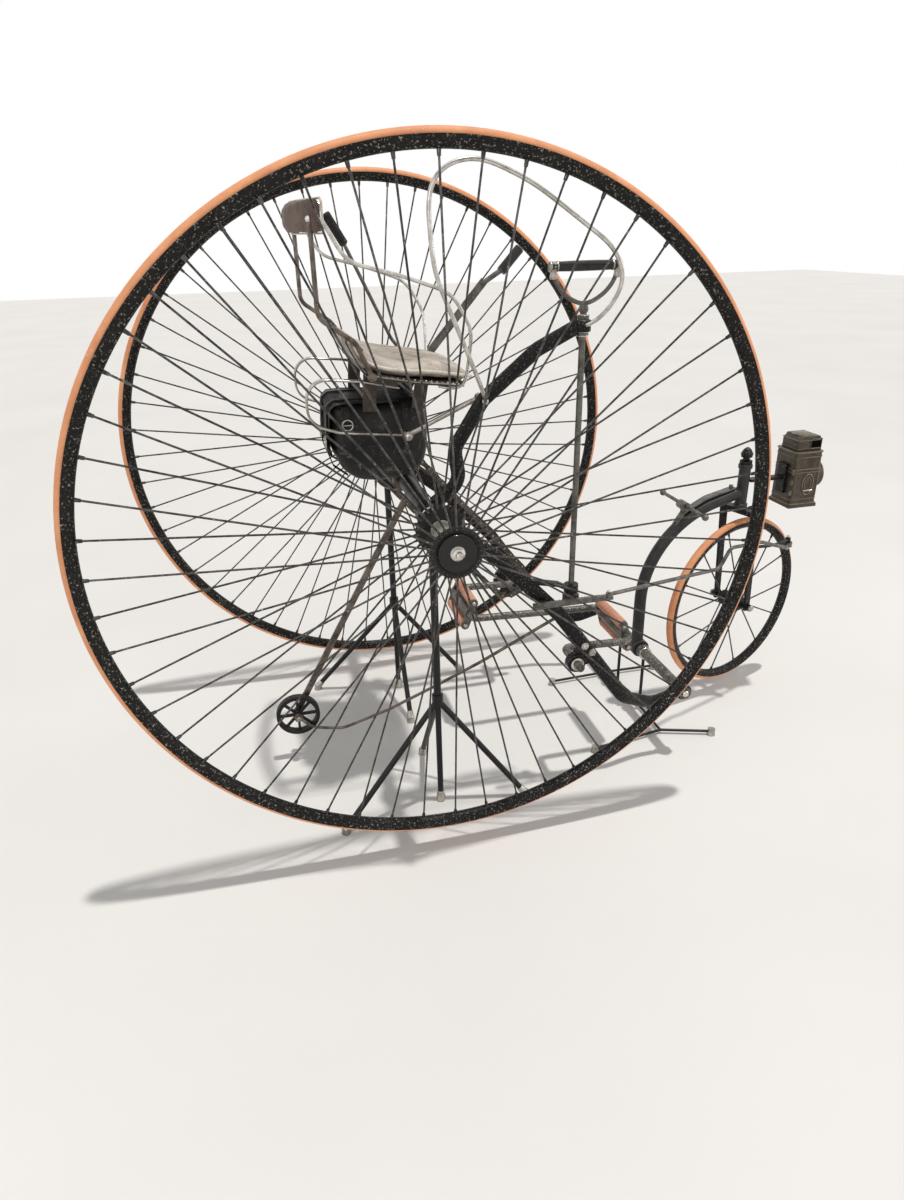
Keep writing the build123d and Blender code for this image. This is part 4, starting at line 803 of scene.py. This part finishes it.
# Display stands: flared steel ferrules at the feet
bm = bmesh.new()
for side in (-1, 1):
    head = at(2, side * SIDE, -418)
    flare = ((0, 0.2), (10, 0.2), (10.5, 2), (10.1, 8), (9.8, 14.6), (8.4, 19), (7.6, 25),
             (6.9, 26.6), (0, 26.6))
    lathe(bm, at(2, side * SIDE, FLOOR), UP, flare, 28)
    for x, out_by in ((-222, 53), (190, 38), (0, -185)):
        foot = at(x, side * (SIDE + out_by), FLOOR + 10)
        lathe(bm, foot - UP * 0.01, UP, ((0, 0.2), (10, 0.2), (10.4, 2), (10, 10), (9.7, 14.5), (0, 15)), 28)
        lathe(bm, foot, head - foot, ((0, 0), (9.6, 0), (8.6, 9), (7.7, 18), (7.2, 20), (0, 20)), 28)
cap = ((0, 0.2), (10.4, 0.2), (10.4, 2), (8.9, 8), (8.8, 15.4), (9.4, 17), (0, 17))
for x, y in ((-191, -185), (121, -197), (-179, 147), (135, 150)):
    lathe(bm, at(CROSS_X + x, y, FLOOR), UP, cap, 28)
piece("stand_ferrules", bm, "stand_black", "worn_nickel")

# Tail wheel's nuts
TAIL_AXLE = (-290, -563)
bm = bmesh.new()
for side in (-1, 1):
    hexagon(bm, spot_on(TAIL_AXLE, side * 21), ACROSS * side, 12, 6)
piece("tail_nuts", bm, "worn_steel", "worn_nickel")

# Lamp: bands, two embossed ovals on each side, hinges, lens rings, top cap, latch and vents whose openings
# are painted shade
LAMP_X, LAMP_HALF_X, LAMP_HALF_Y = 1004, 37, 40
LENS_Z, LATCH_Z = -81, -112
bm = bmesh.new()
bands = [(0, z, LAMP_HALF_X + grow, LAMP_HALF_Y + grow, 7, radius) for z, radius, grow in (
    (-146, 2.2, 0.4), (-134, 1.2, 0.2), (-66, 1.3, 0.2), (-58, 1.3, 0.2), (-28, 1.4, 0.3), (-16, 2.2, 0.5))]
bands += [(-0.5, z, 31.5, 32.4, 3, 1.2) for z in (-8, 12)]
for shift, z, half_x, half_y, corner, radius in bands:
    path = [at(LAMP_X + shift + x, y, z) for x, y in rounded_box(half_x, half_y, corner)]
    tube(bm, path, radius, 8, closed=True)
for side in (-1, 1):
    for half_x, half_z, radius in ((15, 26, 2.1), (9, 19, 1.5)):
        hoop(bm, at(LAMP_X + 6, side * (LAMP_HALF_Y + 0.2), -97), AHEAD * half_x, UP * half_z, radius, 40)
    for x in (-30, 32):
        low, high = (at(LAMP_X + x, side * (LAMP_HALF_Y + 0.4), z) for z in (-128, -70))
        rod(bm, low, high, 1.1, 8)
for z in (-122, -96, -70):
    hinge = at(LAMP_X - LAMP_HALF_X - 0.6, -LAMP_HALF_Y + 3, z)
    rod(bm, hinge, hinge + UP * 0.012, 3.2, 14)
lens_bead = ((28, -2.4), (32.6, -2.4), (34, -1), (34, 0.8), (32.6, 2), (28, 1.6))
lathe(bm, at(LAMP_X + LAMP_HALF_X + 16, 0, LENS_Z), AHEAD, lens_bead, 56, closed=True)
lens_foot = ((31, 0), (36.5, 0), (36.5, 1.6), (34, 3.4), (31, 3.4))
lathe(bm, at(LAMP_X + LAMP_HALF_X, 0, LENS_Z), AHEAD, lens_foot, 56, closed=True)
lathe(bm, at(LAMP_X, 0, 21), UP, ((0, 0), (24, 0), (24.6, 1.4), (18, 4), (8, 5.4), (0, 5.6)), 40)
piece("lamp_details", bm, "lamp_tin", "lamp_trim")
bm = bmesh.new()
LATCH_Y = -LAMP_HALF_Y - 2
rod(bm, at(LAMP_X - 6, LATCH_Y, LATCH_Z), at(LAMP_X + 17, LATCH_Y, LATCH_Z), 1.8, 10)
for x in (-2, 13):
    pin(bm, (LAMP_X + x, LATCH_Z), LATCH_Y + 2, LATCH_Y - 2, 2.2, 10)
ball(bm, at(LAMP_X + 18, LATCH_Y, LATCH_Z), 2.8, 12)
piece("lamp_latch", bm, "lamp_tin", "bright_nickel")
# Vents: a near-black plate on each side of the lamp's top, painted shade standing for the openings, each in
# a frame
bm = bmesh.new()
vent_frames = bmesh.new()
vent = ((1007, -9), (1036.5, -9), (1036.5, 15), (1007, 15))
for side in (-1, 1):
    plate(bm, vent, side * 31.9, side * 32.2)
    tube(vent_frames, flat(vent, side * 32.4), 1.3, 8, closed=True)
piece("lamp_vent_shade", bm, "lamp_tin", "vent_painted_shade")
piece("lamp_vent_frames", vent_frames, "lamp_tin", "lamp_trim")


# Soft goods: the closed forms that stuffing and sag give
def swap_mesh(obj):
    """Puts an object's evaluated mesh in place of its mesh and modifiers."""
    seen = obj.evaluated_get(bpy.context.evaluated_depsgraph_get())
    mesh = bpy.data.meshes.new_from_object(seen)
    old = obj.data
    obj.modifiers.clear()
    obj.data = mesh
    for face in mesh.polygons:
        face.use_smooth = True
    bpy.data.meshes.remove(old)


def fill(obj, cap, voxel):
    """Evens the mesh and fills it as cloth under pressure without gravity; no point moves past the cap."""
    bpy.context.view_layer.objects.active = obj
    remesh = obj.modifiers.new("even", "REMESH")
    remesh.mode = "VOXEL"
    remesh.voxel_size = voxel
    remesh.use_smooth_shade = True
    swap_mesh(obj)
    start = [v.co.copy() for v in obj.data.vertices]
    cloth = obj.modifiers.new("fill", "CLOTH")
    cloth.settings.use_pressure = True
    cloth.settings.uniform_pressure_force = 4
    cloth.settings.effector_weights.gravity = 0
    for n in range(1, 21):
        bpy.context.scene.frame_set(n)
    swap_mesh(obj)
    bpy.context.scene.frame_set(1)
    for vertex, before in zip(obj.data.vertices, start):
        move = vertex.co - before
        if move.length > cap:
            vertex.co = before + move.normalized() * cap
    smooth = obj.modifiers.new("smooth", "SUBSURF")
    smooth.levels = smooth.render_levels = 1
    swap_mesh(obj)


def crumple(obj, scale, depth, folds, fold_depth):
    """Presses soft dents and finer creases into a form."""
    for vertex in obj.data.vertices:
        spot = vertex.co
        dent = noise.noise(spot * scale) * depth
        crease = -abs(noise.noise(spot * folds + Vector((7, 3, 1)))) * fold_depth
        vertex.co = spot + vertex.normal * (dent + crease)
    obj.data.update()


def slab_section(half, thick, crown, count=44, power=5.0, end_power=2.2):
    """Places (across, outward) round a cushion's section: a crowned top, a flatter base and rounded ends."""
    places = []
    for k in range(count):
        turn = 2 * pi * k / count
        c, s = cos(turn), sin(turn)
        across = half * copysign(abs(c) ** (2 / power), c)
        up = thick / 2 * copysign(abs(s) ** (2 / end_power), s)
        if s > 0:
            up += crown * max(0, 1 - (across / half) ** 2)
        places.append((across, up))
    return places


def curve_at(points, t, closed=False):
    """A smooth line through points, by their share of the way."""
    count = len(points)
    if closed:
        t *= count
        k = int(t)
        near = [points[(k + d) % count] for d in (-1, 0, 1, 2)]
    else:
        t = max(0.0, min(1.0, t)) * (count - 1)
        k = min(int(t), count - 2)
        near = [points[max(0, min(count - 1, k + d))] for d in (-1, 0, 1, 2)]
    f = t - k
    return tuple(0.5 * (2 * b + (c - a) * f + (2 * a - 5 * b + 4 * c - d) * f * f
                        + (3 * b - a - 3 * c + d) * f ** 3) for a, b, c, d in zip(*near))


# Seat pad: stations down its length are (x, z of the middle, thickness, half width)
SEAT = ((-122, 320, 7, 150), (-116, 308, 13, 176), (-106, 292, 19, 182), (-90, 276, 22, 184),
        (-60, 265, 23, 184), (-20, 257, 24, 174), (30, 250, 24, 160), (80, 241, 22, 147),
        (112, 235, 18, 136), (123, 232, 9, 118))
STATIONS = 48
stations = [curve_at(SEAT, n / (STATIONS - 1)) for n in range(STATIONS)]
bm = bmesh.new()
rings = []
for n, (x, z, thick, half) in enumerate(stations):
    x2, z2 = stations[min(n + 1, STATIONS - 1)][:2]
    x1, z1 = stations[max(n - 1, 0)][:2]
    lift = Vector((z1 - z2, 0, x2 - x1)).normalized()
    rings.append([bm.verts.new(at(x, 0, z) + lift * (up / 1000) + Vector((0, across / 1000, 0)))
                  for across, up in slab_section(half, thick, 4.5, 52)])
skin(bm, rings)
seat = piece("seat_cushion", bm, "seat_leather", replaces=("seat_pad",), sharp=180)
fill(seat, 0.0035, 0.0085)
crumple(seat, 16, 0.0016, 34, 0.0018)

# Seat's trim: a pale welt round the sides and nose, tacked strips below it and a strap at each rear corner
bm = bmesh.new()
edge = [at(x, -half - 0.5, z + thick * 0.12) for x, z, thick, half in stations[3:-1]]
nose = [at(124 - 0.00035 * y * y / 3, y, 231) for y in range(-112, 113, 8)]
tube(bm, edge + nose + [Vector((v.x, -v.y, v.z)) for v in reversed(edge)], 3.0, 12)
piece("seat_welt", bm, "seat_leather", "pale_trim")
bm = bmesh.new()
for side in (-1, 1):
    low = line(((-92, 178.5, 257), (-58, 178, 249.6), (0, 160, 235.8), (104, 130.5, 219.4)), side)
    sweep(bm, low, strip(3.6, 1.2))
    for n in range(15):
        dome(bm, low[1].lerp(low[3], n / 14) + ACROSS * (side * 0.001), ACROSS * side, 2.2, 1.6, 10)
piece("seat_rail_trim", bm, "board_wood", "worn_nickel")
bm = bmesh.new()
strap = ((-84, 178, 247), (-100, 178, 262), (-117, 178, 292), (-129, 177, 318), (-124, 176, 329),
         (-113, 175, 318), (-100, 174, 300))
for side in (-1, 1):
    sweep(bm, rounded(line(strap, side), 6, 4), strip(7, 1))
piece("seat_straps", bm, "seat_leather", "bag_leather")

# Backrest pad: a bowed band across the two rods
PAD_LOW, PAD_HIGH, PAD_HALF, PAD_BOW = 496, 552, 209, 38
PAD_X = -160.8


def pad_line(y):
    return PAD_X - PAD_BOW * (1 - (y / PAD_HALF) ** 2)


def pad_face(y):
    """The pad's outward direction at a place across it."""
    return Vector((1, -2 * PAD_BOW * y / PAD_HALF ** 2, 0)).normalized()


bm = bmesh.new()
rings = []
STEPS = 90
for n in range(STEPS + 1):
    t = -1 + 2 * n / STEPS
    y = PAD_HALF * t
    taper = max(0.4, 1 - abs(t) ** 30) ** 0.5
    face = pad_face(y)
    middle = at(pad_line(y), y, (PAD_LOW + PAD_HIGH) / 2)
    quilt = taper * (1 - 0.1 * exp(-((abs(y) - 62) / 5) ** 2))
    half = (PAD_HIGH - PAD_LOW) / 2 * (0.9 + 0.1 * taper)
    rings.append([bm.verts.new(middle + face * (up / 1000) + UP * (across / 1000))
                  for across, up in slab_section(half, 15 * quilt, 3.4 * quilt, 36, 5, 2.4)])
skin(bm, rings)
back = piece("backrest_cushion", bm, "brown_leather", replaces=("backrest_pad",), sharp=180)
fill(back, 0.0025, 0.005)
crumple(back, 22, 0.0009, 46, 0.001)
bm = bmesh.new()
for z, radius in ((PAD_HIGH - 1.2, 1.9), (PAD_LOW + 1.2, 1.6)):
    tube(bm, [at(pad_line(y) + 5.5, y, z) for y in range(-204, 205, 6)], radius, 8)
for side in (-1, 1):
    y = side * (PAD_HALF - 2)
    corners = ((5, -6, PAD_LOW + 1), (6, 1, PAD_LOW + 6), (6, 1, PAD_HIGH - 6), (5, -6, PAD_HIGH - 1))
    path = [at(pad_line(y) + ahead, y + side * aside, z) for ahead, aside, z in corners]
    tube(bm, rounded(path, 4, 4), 2.2, 8)
piece("backrest_welt", bm, "brown_leather", "pale_trim")
bm = bmesh.new()
for side in (-1, 1):
    y = side * 190
    for z in (508, 538):
        spot = at(pad_line(y) + 8.4, y, z)
        lathe(bm, spot, pad_face(y), ((0, -2), (8, -2), (8.4, 0), (6.4, 3), (3.4, 4.8), (0, 5.4)), 24)
    dome(bm, at(-176, side * 192, 519.6), -AHEAD, 6, 7)
piece("backrest_bolts", bm, "brown_leather", "bright_nickel")

# Tool bag: a lofted shell that sags, with a flap, straps, loops and buckles
BAG_HALF = 99
BAG_MIDDLE_X, BAG_MIDDLE_Z = -60, 108
BAG = ((-156, 150), (-156, 176), (-148, 186), (-120, 188), (-60, 184), (0, 187), (24, 188), (34, 176),
       (38, 130), (37, 88), (30, 60), (12, 38), (-20, 28), (-60, 25), (-100, 28), (-134, 46),
       (-152, 82), (-158, 116))


def bag_outline(share):
    """The bag's (x, z) outline at a place across it, fuller at the middle."""
    shrink = 0.86 + 0.14 * (1 - abs(share) ** 9) ** 0.5
    droop = 5 * (1 - share * share) - 3
    places = []
    for x, z in BAG:
        low = max(0, min(1, (120 - z) / 90))
        places.append((BAG_MIDDLE_X + (x - BAG_MIDDLE_X) * shrink,
                       BAG_MIDDLE_Z + (z - BAG_MIDDLE_Z) * shrink - droop * low))
    return places


bm = bmesh.new()
rings = []
for n in range(41):
    share = -1 + n / 20
    outline = bag_outline(max(-0.999, min(0.999, share)))
    rings.append([bm.verts.new(place) for place in flat((curve_at(outline, k / 72, True) for k in range(72)),
                                                        share * BAG_HALF)])
skin(bm, rings)
bag = piece("bag_body", bm, "bag_leather", replaces=("tool_bag",), sharp=180)
fill(bag, 0.004, 0.009)
crumple(bag, 14, 0.0022, 30, 0.002)

# The flap lies over the bag's top and hangs down its rear, from front to hem in (x, z) places
FLAP = ((-20, 188.5), (-70, 187.6), (-118, 190.2), (-148, 188.6), (-159, 180), (-162, 160),
        (-163.5, 132), (-164, 104), (-160, 84))
FLAP_HALF = 96
bm = bmesh.new()
rows = []
for n in range(29):
    y = -FLAP_HALF + n * 2 * FLAP_HALF / 28
    hem = 10 * (1 - (y / FLAP_HALF) ** 2)
    rows.append([])
    for k, (x, z) in enumerate(FLAP):
        sag = 1.4 * sin(n * 0.9 + k * 0.7) * (k / 8)
        rows[-1].append(bm.verts.new(at(x + sag, y * (1 - 0.05 * k / 8), z - (hem * k / 8 if k > 6 else 0))))
for a, b in zip(rows, rows[1:]):
    for k in range(len(a) - 1):
        bm.faces.new((a[k], a[k + 1], b[k + 1], b[k]))
bmesh.ops.solidify(bm, geom=bm.faces[:], thickness=0.0024)
piece("bag_flap", bm, "bag_leather", sharp=50)
STRAP_Y, LOOP_X = 52, (-128, -10)
bm = bmesh.new()
strap = ((-60, 190.2), (-118, 192.6), (-150, 191.4), (-163, 181), (-167, 130), (-167, 86),
         (-158, 58), (-130, 36))
for y in (-STRAP_Y, STRAP_Y):
    sweep(bm, rounded(flat(strap, y), 8, 4), strip(7.5, 1.2))
for x in LOOP_X:
    loop = line(((x, 92, 184), (x, 101.6, 172), (x, 103, 120), (x, 102, 84)), -1)
    sweep(bm, rounded(loop, 6, 4), strip(6.5, 1.1))
piece("bag_straps", bm, "bag_leather")
bm = bmesh.new()
for y in (-STRAP_Y, STRAP_Y):
    hoop(bm, at(-169.4, y, 108), ACROSS * 12, UP * 12, 1.7)
    pin(bm, (-169.8, 108), y - 11, y + 11, 1.3, 8)
hoop(bm, at(LOOP_X[0], -105.2, 150), AHEAD * 10.5, UP * 10.5, 1.6)
rod(bm, at(LOOP_X[0] - 9.5, -105.4, 150), at(LOOP_X[0] + 9.5, -105.4, 150), 1.2, 8)
piece("bag_buckles", bm, "bag_leather", "worn_nickel")

# Camera, fitted to the photograph, whose focal length is in its own pixels
FOCAL, PHOTO_HEIGHT, SENSOR = 797.285, 1200, 36
scene = bpy.context.scene
camera = bpy.data.objects.new("camera", bpy.data.cameras.new("camera"))
scene.collection.objects.link(camera)
scene.camera = camera
right = Vector((0.96904084, -0.24593695, -0.02179151))
down = Vector((-0.12311765, -0.4048251, -0.9060677))
forward = Vector((0.21401378, 0.88069953, -0.42257123))
placing = Matrix((right, -down, -forward)).transposed().to_4x4()
placing.translation = at(-308.6, -1688.7, 500.4)
camera.matrix_world = placing
camera.data.sensor_fit = "VERTICAL"
camera.data.sensor_height = SENSOR
camera.data.lens = SENSOR * FOCAL / PHOTO_HEIGHT
camera.data.clip_start = 0.05
camera.data.clip_end = 60

# Floor
bm = bmesh.new()
bmesh.ops.create_grid(bm, x_segments=1, y_segments=1, size=14)
mesh = bpy.data.meshes.new("floor")
bm.to_mesh(mesh)
bm.free()
floor = bpy.data.objects.new("floor", mesh)
scene.collection.objects.link(floor)
floor.location = (0, 4, 0)
tree, bsdf, place = new_material("floor")
tone = ramp(tree, noise_node(tree, place, 1.2, 4, 0.5), 0.3, 0.7)
wire(tree, bsdf, {"Base Color": mix(tree, tone, (0.76, 0.745, 0.72), (0.72, 0.705, 0.68)), "Roughness": 0.7})
mesh.materials.append(MATERIALS["floor"])

# World: white where it is seen, mirrored or looked through, and softer as light
world = bpy.data.worlds.new("world")
scene.world = world
world.use_nodes = True
tree = world.node_tree
rays = tree.nodes.new("ShaderNodeLightPath").outputs
seen = rays["Is Camera Ray"]
for other in ("Is Glossy Ray", "Is Transmission Ray"):
    seen = add(tree, "ShaderNodeMath", {0: seen, 1: rays[other]}, operation="MAXIMUM").outputs[0]
level = add(tree, "ShaderNodeMapRange", {"Value": seen, "To Min": 0.42, "To Max": 1.0}).outputs["Result"]
wire(tree, tree.nodes["Background"], {"Strength": level, "Color": (1, 1, 1, 1)})


# Lights
def light(name, kind, power, direction):
    lamp = bpy.data.lights.new(name, kind)
    lamp.energy = power
    obj = bpy.data.objects.new(name, lamp)
    scene.collection.objects.link(obj)
    obj.rotation_mode = "QUATERNION"
    obj.rotation_quaternion = Vector(direction).to_track_quat("-Z", "Y")
    return obj


key = light("key", "SUN", 2.1, (-0.151, 0.056, -0.987))
key.data.angle = radians(2)
key.data.color = (1, 0.98, 0.95)
for name, place, target, size, power in (("fill", Vector((-2.6, -3.2, 2.2)), Vector((0, 0, 0.6)), 2.2, 22),
                                         ("side", Vector((3.2, -1.2, 1.8)), Vector((0, 0, 0.5)), 1.6, 16)):
    area = light(name, "AREA", power, target - place)
    area.data.size = size
    area.location = place
scene.view_settings.view_transform = "Standard"
